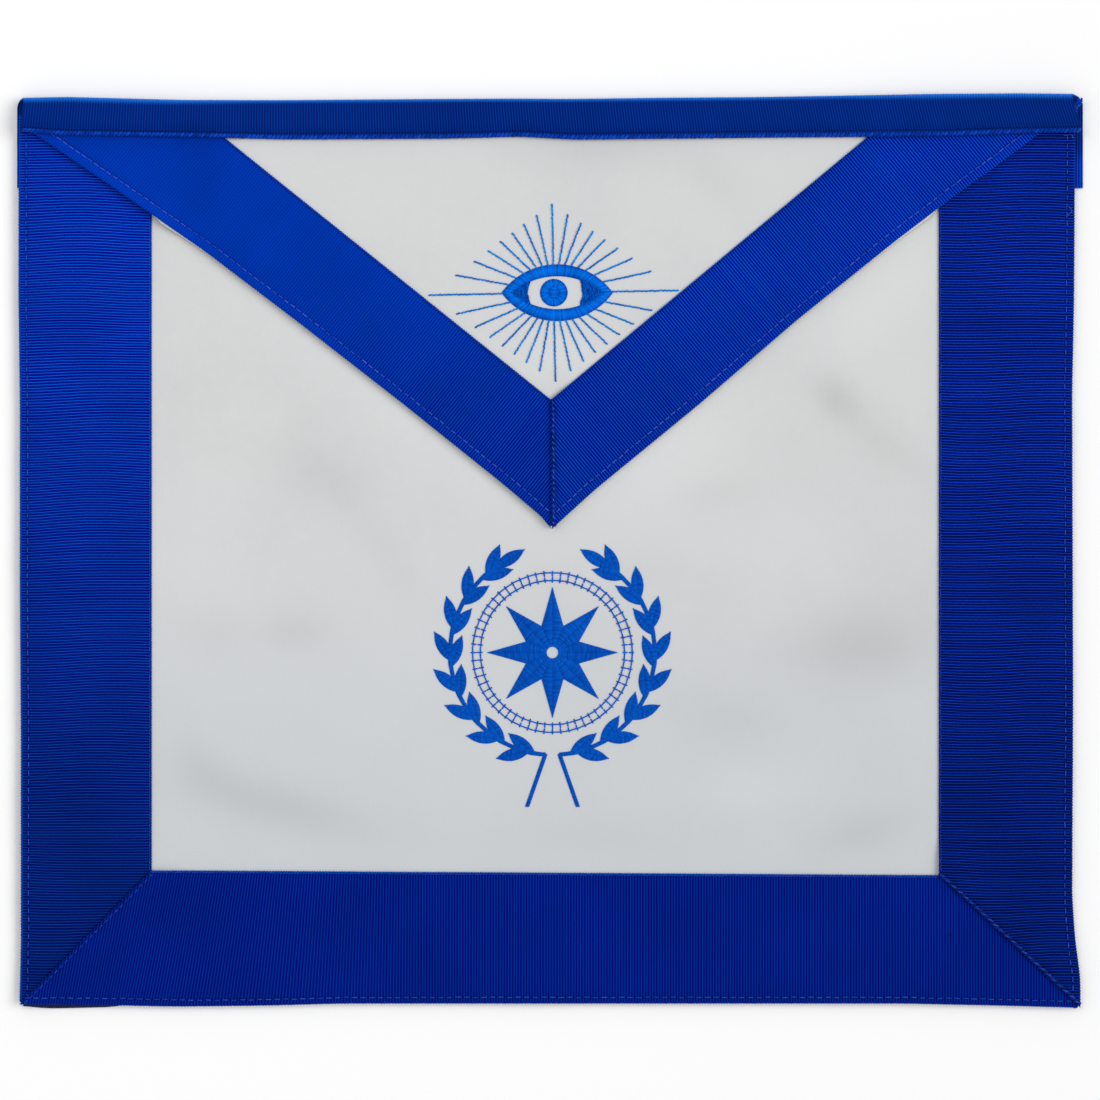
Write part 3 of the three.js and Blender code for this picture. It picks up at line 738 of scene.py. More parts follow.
@dataclass(frozen=True)
class Lay:
    """How the apron's sheets lie: its edges in plan, and the height of each sheet, in metres."""

    centre_x: float
    waist_y: float
    panel_width: float = 0.4064
    panel_height: float = 0.3508
    border: float = 0.0506
    border_right: float = 0.0516
    flap_drop: float = 0.167
    band_front: float = 0.0162
    band_back: float = 0.0354
    past_left: float = 0.0014
    past_right: float = 0.0041
    band_end_cut: float = 0.0049
    edge_drift: float = 0.0027
    band_drift: float = 0.0023
    flap_bow: float = 0.0042
    window_slant: float = 0.0019
    panel_inset: float = 0.001
    lining_peek: float = 0.0021
    leather_peek: float = 0.00028
    leather_peek_more: float = 0.0008
    leather_peek_reach: float = 0.02
    leather_hidden: float = 0.0004
    tuck: float = 0.0085
    lining_wall: float = 0.0008
    floor_room: float = 0.0003
    leather_wall: float = 0.0011
    ribbon_wall: float = 0.0008
    rib_height: float = 0.0002
    air: float = 0.0002
    swell_height: float = 0.0016
    swell_fade: float = 0.045
    dent_depth: float = 0.0009
    dent_fade: float = 0.012
    flap_lift: float = 0.0006
    flap_lift_over_border: float = 0.0016
    flap_lift_reach: float = 0.022
    flap_lift_start: float = 3.0
    step_reach: float = 0.012
    tuck_under: float = 0.003
    # The seed, the length and the height of each set of waves.
    settle: tuple = ((5, 0.05, 0.0002), (8, 0.022, 0.00004))
    point_across: float = 0.5052
    ribbon_set_at: float = 0.5

    @classmethod
    def from_frame(cls) -> "Lay":
        """Sets the sheets where the frame has them.

        Returns:
            The lay, placed by the waistband's box.
        """
        low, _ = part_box("waistband")
        return cls(
            centre_x=low.x + cls.past_left + cls.panel_width / 2.0,
            waist_y=low.y + cls.band_back,
        )

    @property
    def bottom_y(self) -> float:
        """The panel's straight bottom line."""
        return self.waist_y - self.panel_height

    @property
    def under_band_y(self) -> float:
        """The line under the waistband where the ribbons end."""
        return self.waist_y - self.band_front + self.tuck

    @property
    def tip(self) -> Array:
        """The flap's point."""
        across = self.centre_x + (self.point_across - 0.5) * self.panel_width
        return np.array([across, self.waist_y - self.flap_drop])

    @property
    def window_left(self) -> Array:
        """The lower left corner of the window that the borders leave."""
        x = self.centre_x - self.panel_width / 2.0 + self.border
        return np.array([x, self.bottom_y + self.border + self.window_slant / 2.0])

    @property
    def window_right(self) -> Array:
        """The lower right corner of the window."""
        x = self.centre_x + self.panel_width / 2.0 - self.border_right
        return np.array([x, self.bottom_y + self.border - self.window_slant / 2.0])

    @property
    def corner_left(self) -> Array:
        """The lower left corner of the borders."""
        x = float(self.left_edge(self.bottom_y))
        return np.array([x, float(self.bottom_edge(x))])

    @property
    def corner_right(self) -> Array:
        """The lower right corner of the borders."""
        x = float(self.right_edge(self.bottom_y))
        return np.array([x, float(self.bottom_edge(x))])

    def place(self, across: float, below: float) -> Array:
        """Finds a place by shares of the panel's width and height."""
        x = self.centre_x + (across - 0.5) * self.panel_width
        return np.array([x, self.waist_y - below * self.panel_height])

    def below(self, y: Array) -> Array:
        """Returns the share of the panel's height that is passed at a level."""
        return (self.waist_y - y) / self.panel_height

    def left_edge(self, y: Array) -> Array:
        """Returns the left border's outer edge at each level."""
        return self.centre_x - self.panel_width / 2.0 - self.edge_drift * LEFT_EDGE.at(self.below(y))

    def right_edge(self, y: Array) -> Array:
        """Returns the right border's outer edge at each level."""
        return self.centre_x + self.panel_width / 2.0 + self.edge_drift * RIGHT_EDGE.at(self.below(y))

    def across(self, x: Array) -> Array:
        """Returns the share of the panel's width that is passed at each place."""
        return (x - self.centre_x) / self.panel_width + 0.5

    def bottom_edge(self, x: Array) -> Array:
        """Returns the bottom border's outer edge at each place across."""
        return self.bottom_y - self.edge_drift * BOTTOM_EDGE.at(self.across(x))

    def window_low(self, x: Array) -> Array:
        """Returns the bottom border's inner edge at each place across."""
        left, right = self.window_left, self.window_right
        return np.interp(x, (left[0], right[0]), (left[1], right[1]))

    def flap_edge(self, side: FlapSide, count: int = 121) -> Array:
        """Draws one outer edge of the flap.

        Args:
            side: which one.
            count: how many points it has.

        Returns:
            Points from the waist to the tip.
        """
        start = self.place(side.start_across, side.start_below)
        along = self.tip - start
        inwards = np.array([-along[1], along[0]]) / np.linalg.norm(along)
        inwards *= np.sign(inwards[1])
        share = np.linspace(0.0, 1.0, count)
        bow = side.bow.at(share) * self.flap_bow * np.clip((1.0 - share) / 0.02, 0.0, 1.0)
        return start + share[:, None] * along + bow[:, None] * inwards

    def flap_inner(self, side: FlapSide) -> tuple[Array, Array]:
        """Finds a flap ribbon's straight inner edge.

        Args:
            side: which ribbon.

        Returns:
            A point on it, and the way that it runs up to the waist.
        """
        edge = self.flap_edge(side)
        middle = edge[int(self.ribbon_set_at * (len(edge) - 1))]
        slope = math.radians(side.inner_slope)
        lean = np.array([side.side * math.cos(slope), math.sin(slope)])
        square = np.array([-side.side * lean[1], side.side * lean[0]])
        return middle + square * side.ribbon, lean

    def swell(self, x: Array, y: Array) -> Array:
        """Returns how far the leather swells off the floor."""
        sideways = self.panel_width / 2.0 - np.abs(x - self.centre_x)
        room = np.minimum(np.minimum(sideways, y - self.bottom_y), self.under_band_y - y)
        rise = np.zeros(np.broadcast(x, y).shape)
        for one in SWELLS:
            middle = self.place(one.across, one.below)
            u = (x - middle[0]) / (one.wide * self.panel_width)
            v = (y - middle[1]) / (one.tall * self.panel_height)
            rise += one.rise * np.exp(-u * u - v * v)
        return self.swell_height * rise * smooth_step(room / self.swell_fade)

    def dents(self, x: Array, y: Array) -> Array:
        """Returns how far the leather dips in its dents, up to the borders' inner edges."""
        room = np.minimum(self.inside_borders(x), y - self.window_low(x))
        return self.dent_depth * self.hollow(x, y) * smooth_step(room / self.dent_fade)

    def hollow(self, x: Array, y: Array) -> Array:
        """Returns the share of a dent's depth at each place, below zero where the leather rises."""
        dip = np.zeros(np.broadcast(x, y).shape)
        for one in DENTS:
            middle, turn = self.place(one.across, one.below), math.radians(one.turn)
            along = (x - middle[0]) * math.cos(turn) + (y - middle[1]) * math.sin(turn)
            aside = (y - middle[1]) * math.cos(turn) - (x - middle[0]) * math.sin(turn)
            dip += one.depth * np.exp(-((along / one.length) ** 2) - (aside / one.width) ** 2)
        return dip

    def panel_top(self, x: Array, y: Array) -> Array:
        """Returns the level of the panel's leather."""
        settle = sum(waves(x, y, seed, length) * height for seed, length, height in self.settle)
        floor = self.lining_wall + 2.0 * self.air + self.leather_wall + self.floor_room
        return floor + self.swell(x, y) + settle - self.dents(x, y)

    def inside_borders(self, x: Array) -> Array:
        """Returns how far a place lies inside the side borders' inner edges."""
        return np.minimum(x - self.window_left[0], self.window_right[0] - x)

    def flap_under(self, x: Array, y: Array) -> Array:
        """Returns the level of the underside of the flap's leather."""
        step = (self.ribbon_wall + self.air) * (1.0 - smooth_step(self.inside_borders(x) / self.step_reach))
        edges = np.concatenate([self.flap_edge(FLAP_LEFT), self.flap_edge(FLAP_RIGHT)[::-1]])
        flat_x, flat_y = np.broadcast_arrays(x, y)
        gap = np.hypot(flat_x[..., None] - edges[::4, 0], flat_y[..., None] - edges[::4, 1]).min(-1)
        below_band = self.waist_y - self.band_front - flat_y
        over_border = 1.0 - smooth_step((x - self.window_left[0]) / self.step_reach)
        lift = self.flap_lift + self.flap_lift_over_border * over_border
        lift = lift * (1.0 - smooth_step(gap / self.flap_lift_reach))
        lift *= smooth_step(below_band / (self.flap_lift_start * self.band_front))
        return self.panel_top(x, y) + self.air + step + lift

    def flap_top(self, x: Array, y: Array) -> Array:
        """Returns the level of the flap's leather."""
        return self.flap_under(x, y) + self.leather_wall

    def lap(self, x: Array, y: Array, line: tuple[Array, Array], reach: float) -> Array:
        """Returns how far a ribbon rises where it lies over its neighbour.

        Args:
            x: places across.
            y: places up.
            line: two points on the line where they meet.
            reach: how far from there it sinks back.

        Returns:
            The rise.
        """
        start, end = line
        way = (end - start) / np.linalg.norm(end - start)
        gap = np.abs(way[0] * (y - start[1]) - way[1] * (x - start[0]))
        return (self.ribbon_wall + self.air) * (1.0 - smooth_step((gap - self.tuck_under) / reach))

    def inside_flap(self, x: Array, y: Array) -> Array:
        """Returns how far a place lies inside the flap ribbons' inner edges."""
        gaps = []
        for side in (FLAP_LEFT, FLAP_RIGHT):
            start, lean = self.flap_inner(side)
            gaps.append(side.side * (lean[0] * (y - start[1]) - lean[1] * (x - start[0])))
        return np.minimum(*gaps)


def link(name: str, data: bpy.types.ID) -> Object:
    """Puts new data into the scene as an object at the origin."""
    made = bpy.data.objects.new(name, data)
    bpy.context.scene.collection.objects.link(made)
    return made


def closed_slab(name: str, top: Array, bottom: Array) -> Mesh:
    """Makes a closed slab between two grids of points.

    Args:
        name: the mesh's name.
        top: places of the top, by row and column.
        bottom: places of the underside, by row and column.

    Returns:
        The mesh, facing outwards.
    """
    rows, columns = top.shape[:2]
    index = np.arange(rows * columns).reshape(rows, columns)
    over = np.stack([index[:-1, :-1], index[:-1, 1:], index[1:, 1:], index[1:, :-1]], -1).reshape(-1, 4)
    under = over[:, ::-1] + rows * columns
    loop = np.concatenate([index[0, :-1], index[:-1, -1], index[-1, :0:-1], index[:0:-1, 0]])
    ahead = np.roll(loop, -1)
    shift = rows * columns
    rim = np.stack([ahead, loop, loop + shift, ahead + shift], -1)
    mesh = bpy.data.meshes.new(name)
    points = np.concatenate([top.reshape(-1, 3), bottom.reshape(-1, 3)])
    mesh.from_pydata(points.tolist(), [], np.concatenate([over, under, rim]).tolist())
    return mesh


def store_values(mesh: Mesh, name: str, values: Array) -> None:
    """Stores a value at every point of a mesh.

    Args:
        mesh: the mesh.
        name: what the values are called.
        values: one for each point.
    """
    mesh.attributes.new(name, "FLOAT", "POINT").data.foreach_set("value", values.astype(np.float32))


def face_out(mesh: Mesh) -> None:
    """Merges doubles, turns every face outwards and shades the mesh smooth.

    Args:
        mesh: a closed mesh.
    """
    work = bmesh.new()
    work.from_mesh(mesh)
    bmesh.ops.remove_doubles(work, verts=work.verts, dist=1e-7)
    bmesh.ops.recalc_face_normals(work, faces=work.faces)
    work.to_mesh(mesh)
    work.free()
    mesh.shade_smooth()


class Tree:
    """A Geometry Nodes tree under construction, with named inputs."""

    def __init__(self, title: str, sizes: tuple[str, ...], counts: tuple[str, ...] = ()) -> None:
        """Args:
            title: the tree's name.
            sizes: the names of the inputs that are measures.
            counts: the names of the inputs that are whole numbers.
        """
        self.group = bpy.data.node_groups.new(title, "GeometryNodeTree")
        kinds = {"Geometry": "NodeSocketGeometry", "Material": "NodeSocketMaterial"}
        kinds |= dict.fromkeys(sizes, "NodeSocketFloat") | dict.fromkeys(counts, "NodeSocketInt")
        for name, kind in kinds.items():
            self.group.interface.new_socket(name, in_out="INPUT", socket_type=kind)
        self.group.interface.new_socket("Geometry", in_out="OUTPUT", socket_type="NodeSocketGeometry")
        self.graph = Graph(self.group)
        self.entry = self.graph.node("NodeGroupInput")

    def size(self, name: str) -> Signal:
        """Returns one of the tree's inputs."""
        return Signal(self.graph, self.entry.outputs[name])

    def chance(self, low: float, high: float, seed: Signal) -> Signal:
        """Returns a random value between two limits for each element."""
        limits = {"Min": low, "Max": high, "Seed": seed}
        return self.graph.make("FunctionNodeRandomValue", {"data_type": "FLOAT"}, limits)

    def read(self, name: str, kind: str) -> Signal:
        """Returns the attribute of this name and kind."""
        settings = {"data_type": kind}
        return self.graph.make("GeometryNodeInputNamedAttribute", settings, {"Name": name}, "Attribute")

    def store(self, geometry: Signal, name: str, value: Signal, domain: str) -> Signal:
        """Stores an attribute of values.

        Args:
            geometry: what carries it.
            name: its name.
            value: its values.
            domain: what each value belongs to.

        Returns:
            The geometry with the attribute.
        """
        return self.graph.make(
            "GeometryNodeStoreNamedAttribute",
            {"data_type": "FLOAT", "domain": domain},
            {"Geometry": geometry, "Name": name, "Value": value},
        )

    def move(self, geometry: Signal, offset: Signal) -> Signal:
        """Returns the geometry with its points moved."""
        return self.graph.make("GeometryNodeSetPosition", None, {"Geometry": geometry, "Offset": offset})

    def path(self) -> Signal:
        """Returns the guide's loose edges as curves."""
        return self.graph.make("GeometryNodeMeshToCurve", None, {0: self.size("Geometry")})

    def tube(self, curve: Signal, sides: int) -> Signal:
        """Turns curves into closed threads.

        Args:
            curve: the threads' paths.
            sides: how many sides a thread has.

        Returns:
            The threads.
        """
        make = self.graph.make
        ring = make("GeometryNodeCurvePrimitiveCircle", None, {0: sides, "Radius": self.size("Radius")})
        values = {"Curve": curve, "Profile Curve": ring, "Fill Caps": True}
        return make("GeometryNodeCurveToMesh", None, values)

    def finish(self, geometry: Signal) -> None:
        """Ends the tree in Realize Instances and Set Material.

        Args:
            geometry: what the tree has made.
        """
        plain = self.graph.make("GeometryNodeRealizeInstances", None, {"Geometry": geometry})
        values = {"Geometry": plain, "Material": self.size("Material")}
        dressed = self.graph.make("GeometryNodeSetMaterial", None, values)
        self.graph.node("NodeGroupOutput", None, {0: dressed})

    def apply(self, name: str, guide: Mesh, values: dict[str, object]) -> Mesh:
        """Runs the tree on a guide mesh.

        Args:
            name: the new mesh's name.
            guide: the mesh that the pattern follows.
            values: the tree's inputs by name.

        Returns:
            A plain mesh.
        """
        carrier = link(name + "_guide", guide)
        modifier = carrier.modifiers.new("pattern", "NODES")
        modifier.node_group = self.group
        for item in self.group.interface.items_tree:
            if item.in_out == "INPUT" and item.name in values:
                modifier[item.identifier] = values[item.name]
        graph = bpy.context.evaluated_depsgraph_get()
        mesh = bpy.data.meshes.new_from_object(carrier.evaluated_get(graph))
        mesh.name = name
        carrier.modifiers.remove(modifier)
        bpy.data.objects.remove(carrier)
        return mesh


class RibTree(Tree):
    """Presses ribs into a sheet along its stored rib numbers, with a slow unevenness."""

    def __init__(self) -> None:
        """Builds the tree."""
        super().__init__("woven_ribs", ("Rib Height", "Slub", "Slub Scale"))
        graph = self.graph
        crest = abs((self.read("rib", "FLOAT") * math.pi).cosine())
        lumps = graph.noise(graph.make("GeometryNodeInputPosition"), self.size("Slub Scale"))
        height = crest * self.size("Rib Height") + (lumps - 0.5) * self.size("Slub")
        offset = graph.scale(self.read("square", "FLOAT_VECTOR"), height)
        self.finish(self.move(self.size("Geometry"), offset))


class StitchTree(Tree):
    """Sews one stitch at every pitch along a path: a short arched thread that dips in at both ends."""

    points = 5
    sides = 5
    turn_chance = 0.07
    length_chance = (0.88, 1.1)
    tone_chance = (0.15, 0.95)

    def __init__(self) -> None:
        """Builds the tree."""
        sizes = ("Pitch", "Length", "Radius", "Rise", "Dip", "Slant", "Alternate", "Wander")
        super().__init__("row_of_stitches", sizes, ("Seed",))
        graph, size, seed = self.graph, self.size, self.size("Seed")
        half = size("Length") * 0.5
        dip = size("Dip") * -1.0
        bend = {
            "Resolution": self.points,
            "Start": graph.combine(half * -1.0, 0.0, dip),
            "Middle": graph.combine(0.0, 0.0, size("Rise") * 2.0 + size("Dip")),
            "End": graph.combine(half, 0.0, dip),
        }
        stitch = self.tube(graph.make("GeometryNodeCurveQuadraticBezier", None, bend), self.sides)
        spaced = {"Curve": self.path(), "Length": size("Pitch")}
        spots = graph.make("GeometryNodeResampleCurve", {"mode": "LENGTH"}, spaced)
        odd = graph.make("GeometryNodeInputIndex") % 2.0
        turn = size("Slant") * (1.0 - odd * size("Alternate") * 2.0)
        turn += self.chance(-self.turn_chance, self.turn_chance, seed)
        facing = graph.make(
            "FunctionNodeAlignRotationToVector",
            {"axis": "X", "pivot_axis": "Z"},
            {"Vector": graph.make("GeometryNodeInputTangent")},
        )
        lean = graph.make("FunctionNodeEulerToRotation", None, {0: graph.combine(0.0, 0.0, turn)})
        leaning = graph.make(
            "FunctionNodeRotateRotation", {"rotation_space": "LOCAL"}, {"Rotation": facing, "Rotate By": lean}
        )
        aside = [self.chance(-1.0, 1.0, seed + number) * size("Wander") for number in (1.0, 2.0)]
        placed = {
            "Points": self.move(spots, graph.combine(*aside)),
            "Instance": stitch,
            "Rotation": leaning,
            "Scale": graph.combine(self.chance(*self.length_chance, seed + 3.0), 1.0, 1.0),
        }
        sewn = graph.make("GeometryNodeInstanceOnPoints", None, placed)
        self.finish(self.store(sewn, "strand", self.chance(*self.tone_chance, seed + 4.0), "INSTANCE"))


class SatinTree(Tree):
    """Turns loose edges into taut embroidery threads that arch from end to end."""

    sides = 4
    long_thread = 0.004
    short_share = 0.25
    roundness = 0.6

    def __init__(self) -> None:
        """Builds the tree."""
        super().__init__("satin_threads", ("Radius", "Puff", "Unevenness"), ("Points", "Seed"))
        graph = self.graph
        spaced = {"Curve": self.path(), "Count": self.size("Points")}
        fine = graph.make("GeometryNodeResampleCurve", {"mode": "COUNT"}, spaced)
        bow = (graph.make("GeometryNodeSplineParameter", None, None, "Factor") * math.pi).sine()
        length = graph.make("GeometryNodeSplineLength", None, None, "Length")
        share = (length / self.long_thread).step(0.0, 1.0) * (1.0 - self.short_share) + self.short_share
        chance = self.chance(-1.0, 1.0, self.size("Seed"))
        level = (bow ** self.roundness) * self.size("Puff") * share + chance * self.size("Unevenness")
        raised = self.move(fine, graph.combine(0.0, 0.0, level))
        number = graph.combine(graph.make("GeometryNodeInputIndex") * 0.37)
        marked = self.store(raised, "strand", graph.noise(number, 1.0).step(0.3, 0.7), "CURVE")
        self.finish(self.tube(self.store(marked, "arch", bow, "POINT"), self.sides))


@dataclass(frozen=True)
class Cut:
    """A straight upright cut: what lies on the left of the way from start to end is kept."""

    start: Point
    end: Point

    def apply(self, work: bmesh.types.BMesh) -> None:
        """Cuts the mesh and closes the cut.

        Args:
            work: the mesh to cut.
        """
        along = Vector((self.end[0] - self.start[0], self.end[1] - self.start[1], 0.0)).normalized()
        outwards = Vector((along.y, -along.x, 0.0))
        result = bmesh.ops.bisect_plane(
            work,
            geom=[*work.verts, *work.edges, *work.faces],
            plane_co=Vector((self.start[0], self.start[1], 0.0)),
            plane_no=outwards,
            clear_outer=True,
            dist=1e-8,
        )
        rim = [one for one in result["geom_cut"] if isinstance(one, bmesh.types.BMEdge) and one.is_boundary]
        bmesh.ops.holes_fill(work, edges=rim, sides=0)
        wide = [face for face in work.faces if len(face.verts) > 4]
        bmesh.ops.triangulate(work, faces=wide)


@dataclass
class Piece:
    """A finished piece, hung on the frame in place of the CAD parts that it stands for."""

    name: str
    slot: Slot
    stands_for: tuple[str, ...] = ()

    def hang(self, mesh: Mesh) -> Object:
        """Adds the mesh to the scene as this piece.

        Args:
            mesh: the piece's mesh, with its materials.

        Returns:
            The object.
        """
        mesh.name = self.name
        made = link(self.name, mesh)
        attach(made, "root")
        if self.stands_for:
            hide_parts(*self.stands_for)
        log.info("%s: %d triangles", self.name, sum(len(face.vertices) - 2 for face in mesh.polygons))
        return made


@dataclass
class Weaver:
    """Makes ribbed ribbons."""

    lay: Lay
    pitch: float = 0.00107
    steps: int = 4
    slub: float = 0.00008
    slub_scale: float = 900.0
    edge_share: float = 0.3
    edge_round: float = 0.015
    edge_column: float = 0.0005
    scallop: float = 1.4
    column_spacing: float = 0.009
    hem_dip_depth: float = 0.00022
    hem_dip_width: float = 0.0007

    def __post_init__(self) -> None:
        """Makes the tree that presses the ribs."""
        self.tree = RibTree()

    def rib_numbers(self, length: float) -> Array:
        """Returns rib numbers for rows along a ribbon of this length."""
        ribs = math.ceil(length / self.pitch)
        return np.arange(ribs * self.steps + 1) / self.steps

    def columns(self, width: float, hem: float) -> Array:
        """Places the columns of a ribbon, closer at its edges and at its hem.

        Args:
            width: the ribbon's width.
            hem: how far from the first column the hem's stitches are, or from the last one if negative.

        Returns:
            Shares across the ribbon.
        """
        stitched = hem if hem > 0.0 else width + hem
        close = stitched + self.hem_dip_width * np.array([-1.6, -0.6, 0.6, 1.6])
        edge = np.array([0.0, self.edge_column])
        wide = np.linspace(0.0, width, math.ceil(width / self.column_spacing) + 1)[1:-1]
        wide = wide[np.abs(wide - stitched) > self.hem_dip_width * 3.0]
        return np.sort(np.concatenate([edge, width - edge, wide, close])) / width

    def hem_dip(self, distance: Array) -> Array:
        """Returns how far the stitches pull a ribbon down, by the distance from them."""
        return self.hem_dip_depth * np.exp(-((distance / self.hem_dip_width) ** 2))

    def weave(
        self,
        piece: Piece,
        middle: Array,
        ribs: Array,
        across: Array,
        material: Material,
        cuts: tuple[Cut, ...] = (),
    ) -> Object:
        """Makes a ribbon from its middle surface.

        Args:
            piece: what the ribbon is called and stands for.
            middle: places by row and column.
            ribs: the rib number of each row.
            across: the share across of each column.
            material: the ribbon's finish.
            cuts: cuts made at the ends.

        Returns:
            The ribbon.
        """
        lay = self.lay
        square = np.cross(np.gradient(middle, axis=0), np.gradient(middle, axis=1))
        square /= np.linalg.norm(square, axis=-1, keepdims=True)
        fullness = np.sqrt(np.clip(np.minimum(across, 1.0 - across) / self.edge_round, 0.0, 1.0))
        fullness = self.edge_share + (1.0 - self.edge_share) * fullness
        core = (lay.ribbon_wall / 2.0 - lay.rib_height) * fullness[None, :, None] * square
        mesh = closed_slab(piece.name, middle + core, middle - core)
        rows, columns = middle.shape[:2]
        pull = square * fullness[None, :, None]
        outwards = np.zeros_like(pull)
        for edge, beside in ((0, 1), (-1, -2)):
            way = middle[:, edge] - middle[:, beside]
            outwards[:, edge] = self.scallop * way / np.linalg.norm(way, axis=-1, keepdims=True)
        both = np.concatenate([(pull + outwards).reshape(-1, 3), (outwards - pull).reshape(-1, 3)])
        store = mesh.attributes.new("square", "FLOAT_VECTOR", "POINT")
        store.data.foreach_set("vector", both.astype(np.float32).ravel())
        numbers = np.repeat(ribs, columns)
        store_values(mesh, "rib", np.tile(numbers, 2))
        pattern = np.stack([numbers, np.tile(across, rows)], -1)
        corner = np.empty(len(mesh.loops), dtype=np.int32)
        mesh.loops.foreach_get("vertex_index", corner)
        layer = mesh.uv_layers.new(name="woven")
        layer.data.foreach_set("uv", pattern[corner % (rows * columns)].astype(np.float32).ravel())
        values = {"Rib Height": lay.rib_height, "Slub": self.slub, "Slub Scale": self.slub_scale}
        woven = self.tree.apply(piece.name, mesh, values | {"Material": material})
        work = bmesh.new()
        work.from_mesh(woven)
        for cut in cuts:
            cut.apply(work)
        bmesh.ops.recalc_face_normals(work, faces=work.faces)
        work.to_mesh(woven)
        work.free()
        for name in ("square", "rib"):
            woven.attributes.remove(woven.attributes[name])
        woven.shade_smooth()
        return piece.hang(woven)


@dataclass
class Leathers:
    """The lining, the panel and the flap."""

    lay: Lay
    leather: Material
    lining: Material
    cut_edge: Material
    spacing: float = 0.0036
    edge_column: float = 0.0008
    edge_slope: float = 0.0003
    edge_drop: float = 0.00015
    lining_gap: float = 0.0004
    lining_foot: float = 0.00005
    wrinkle: float = 0.00008
    wrinkle_length: float = 0.03
    flap_length: float = 0.26
    flap_share: float = 0.75
    shown_reach: float = 0.003

    def build_lining(self) -> Object:
        """Builds the lining.

        Returns:
            The lining.
        """
        lay = self.lay
        low = lay.bottom_edge(self.row) - lay.lining_peek * LINING_EDGE.at(lay.across(self.row))
        x, y = self._places(low, lay.waist_y - lay.band_back - self.lining_gap)
        wrinkle = np.abs(waves(x, y, 21, self.wrinkle_length)) * self.wrinkle
        bottom = np.stack([x, y, np.full_like(x, self.lining_foot)], -1)
        mesh = closed_slab("lining", np.stack([x, y, lay.lining_wall + wrinkle], -1), bottom)
        face_out(mesh)
        mesh.materials.append(self.lining)
        return Piece("lining_cloth", Slot.LINING, ("lining",)).hang(mesh)

    def build_panel(self) -> Object:
        """Builds the panel of leather.

        Returns:
            The panel.
        """
        lay = self.lay
        x, y = self._places(lay.bottom_edge(self.row) + lay.panel_inset, lay.under_band_y)
        return self._leather(Piece("leather_panel", Slot.LEATHER, ("body_panel",)), x, y, lay.panel_top)

    def build_flap(self) -> Object:
        """Builds the leather flap.

        Returns:
            The flap.
        """
        lay, rails = self.lay, []
        along = self._shares(self.flap_length)
        across = self._shares(lay.panel_width * self.flap_share)[:, None]
        for side in (FLAP_LEFT, FLAP_RIGHT):
            edge = lay.flap_edge(side, len(along))[::-1]
            outwards = -square_to(edge) * side.side
            inside = lay.inside_borders(edge[:, 0])[:, None]
            shown = smooth_step(inside / self.shown_reach)
            more = np.exp(-((inside / lay.leather_peek_reach) ** 2))
            peek = lay.leather_peek + lay.leather_peek_more * more
            rails.append(edge + outwards * (peek * shown - lay.leather_hidden * (1.0 - shown)))
        left, right = rails
        place = left[:, None] + (right - left)[:, None] * across
        piece = Piece("flap_leather", Slot.LEATHER, ("flap_panel",))
        return self._leather(piece, place[..., 0], place[..., 1], lay.flap_top)

    @property
    def row(self) -> Array:
        """Places across the body, where its lower edge is read."""
        lay = self.lay
        width = lay.panel_width - 2.0 * lay.panel_inset
        return lay.centre_x + (self._shares(lay.panel_width) - 0.5) * width

    def _places(self, low: Array, top_y: float) -> tuple[Array, Array]:
        """Spreads places over the body, inside the borders' outer edges.

        Args:
            low: the levels of the lower edge along the row.
            top_y: the level of the upper edge.

        Returns:
            Places across and up, by row and column.
        """
        lay = self.lay
        across, along = self._shares(lay.panel_width), self._shares(lay.panel_height)[:, None]
        y = low + (top_y - low) * along
        left, right = lay.left_edge(y) + lay.panel_inset, lay.right_edge(y) - lay.panel_inset
        return left + (right - left) * across, y

    def _leather(self, piece: Piece, x: Array, y: Array, level: Level) -> Object:
        """Makes a sheet of leather whose cut edge slopes outwards.

        Args:
            piece: what the sheet is called and stands for.
            x: places across, by row and column.
            y: places up, by row and column.
            level: the top's heights.

        Returns:
            The sheet.
        """
        top = np.stack([x, y, level(x, y)], -1)
        bottom = top - np.array([0.0, 0.0, self.lay.leather_wall])
        middle = bottom[..., :2].reshape(-1, 2).mean(0)
        drawn = top.copy()
        for rows, columns in ((0, slice(None)), (-1, slice(None)), (slice(None), 0), (slice(None), -1)):
            away = middle - top[rows, columns, :2]
            away /= np.linalg.norm(away, axis=-1, keepdims=True)
            drawn[rows, columns, :2] = top[rows, columns, :2] + away * self.edge_slope
            drawn[rows, columns, 2] -= self.edge_drop
        mesh = closed_slab(piece.name, drawn, bottom)
        # The stored dent shares also paint shade into the dents and light onto the rises, in the leather's
        # finish.
        store_values(mesh, "hollow", np.tile(self.lay.hollow(x, y).ravel(), 2))
        mesh.materials.append(self.leather)
        mesh.materials.append(self.cut_edge)
        marks = np.zeros(len(mesh.polygons), dtype=np.int32)
        marks[-2 * (x.shape[0] + x.shape[1] - 2):] = 1
        mesh.polygons.foreach_set("material_index", marks)
        face_out(mesh)
        return piece.hang(mesh)

    def _shares(self, length: float) -> Array:
        """Returns shares of a length, one spacing apart and closer at both ends."""
        inner = np.linspace(0.0, 1.0, math.ceil(length / self.spacing) + 1)
        near = self.edge_column / length
        return np.concatenate([[0.0, near], inner[1:-1], [1.0 - near, 1.0]])


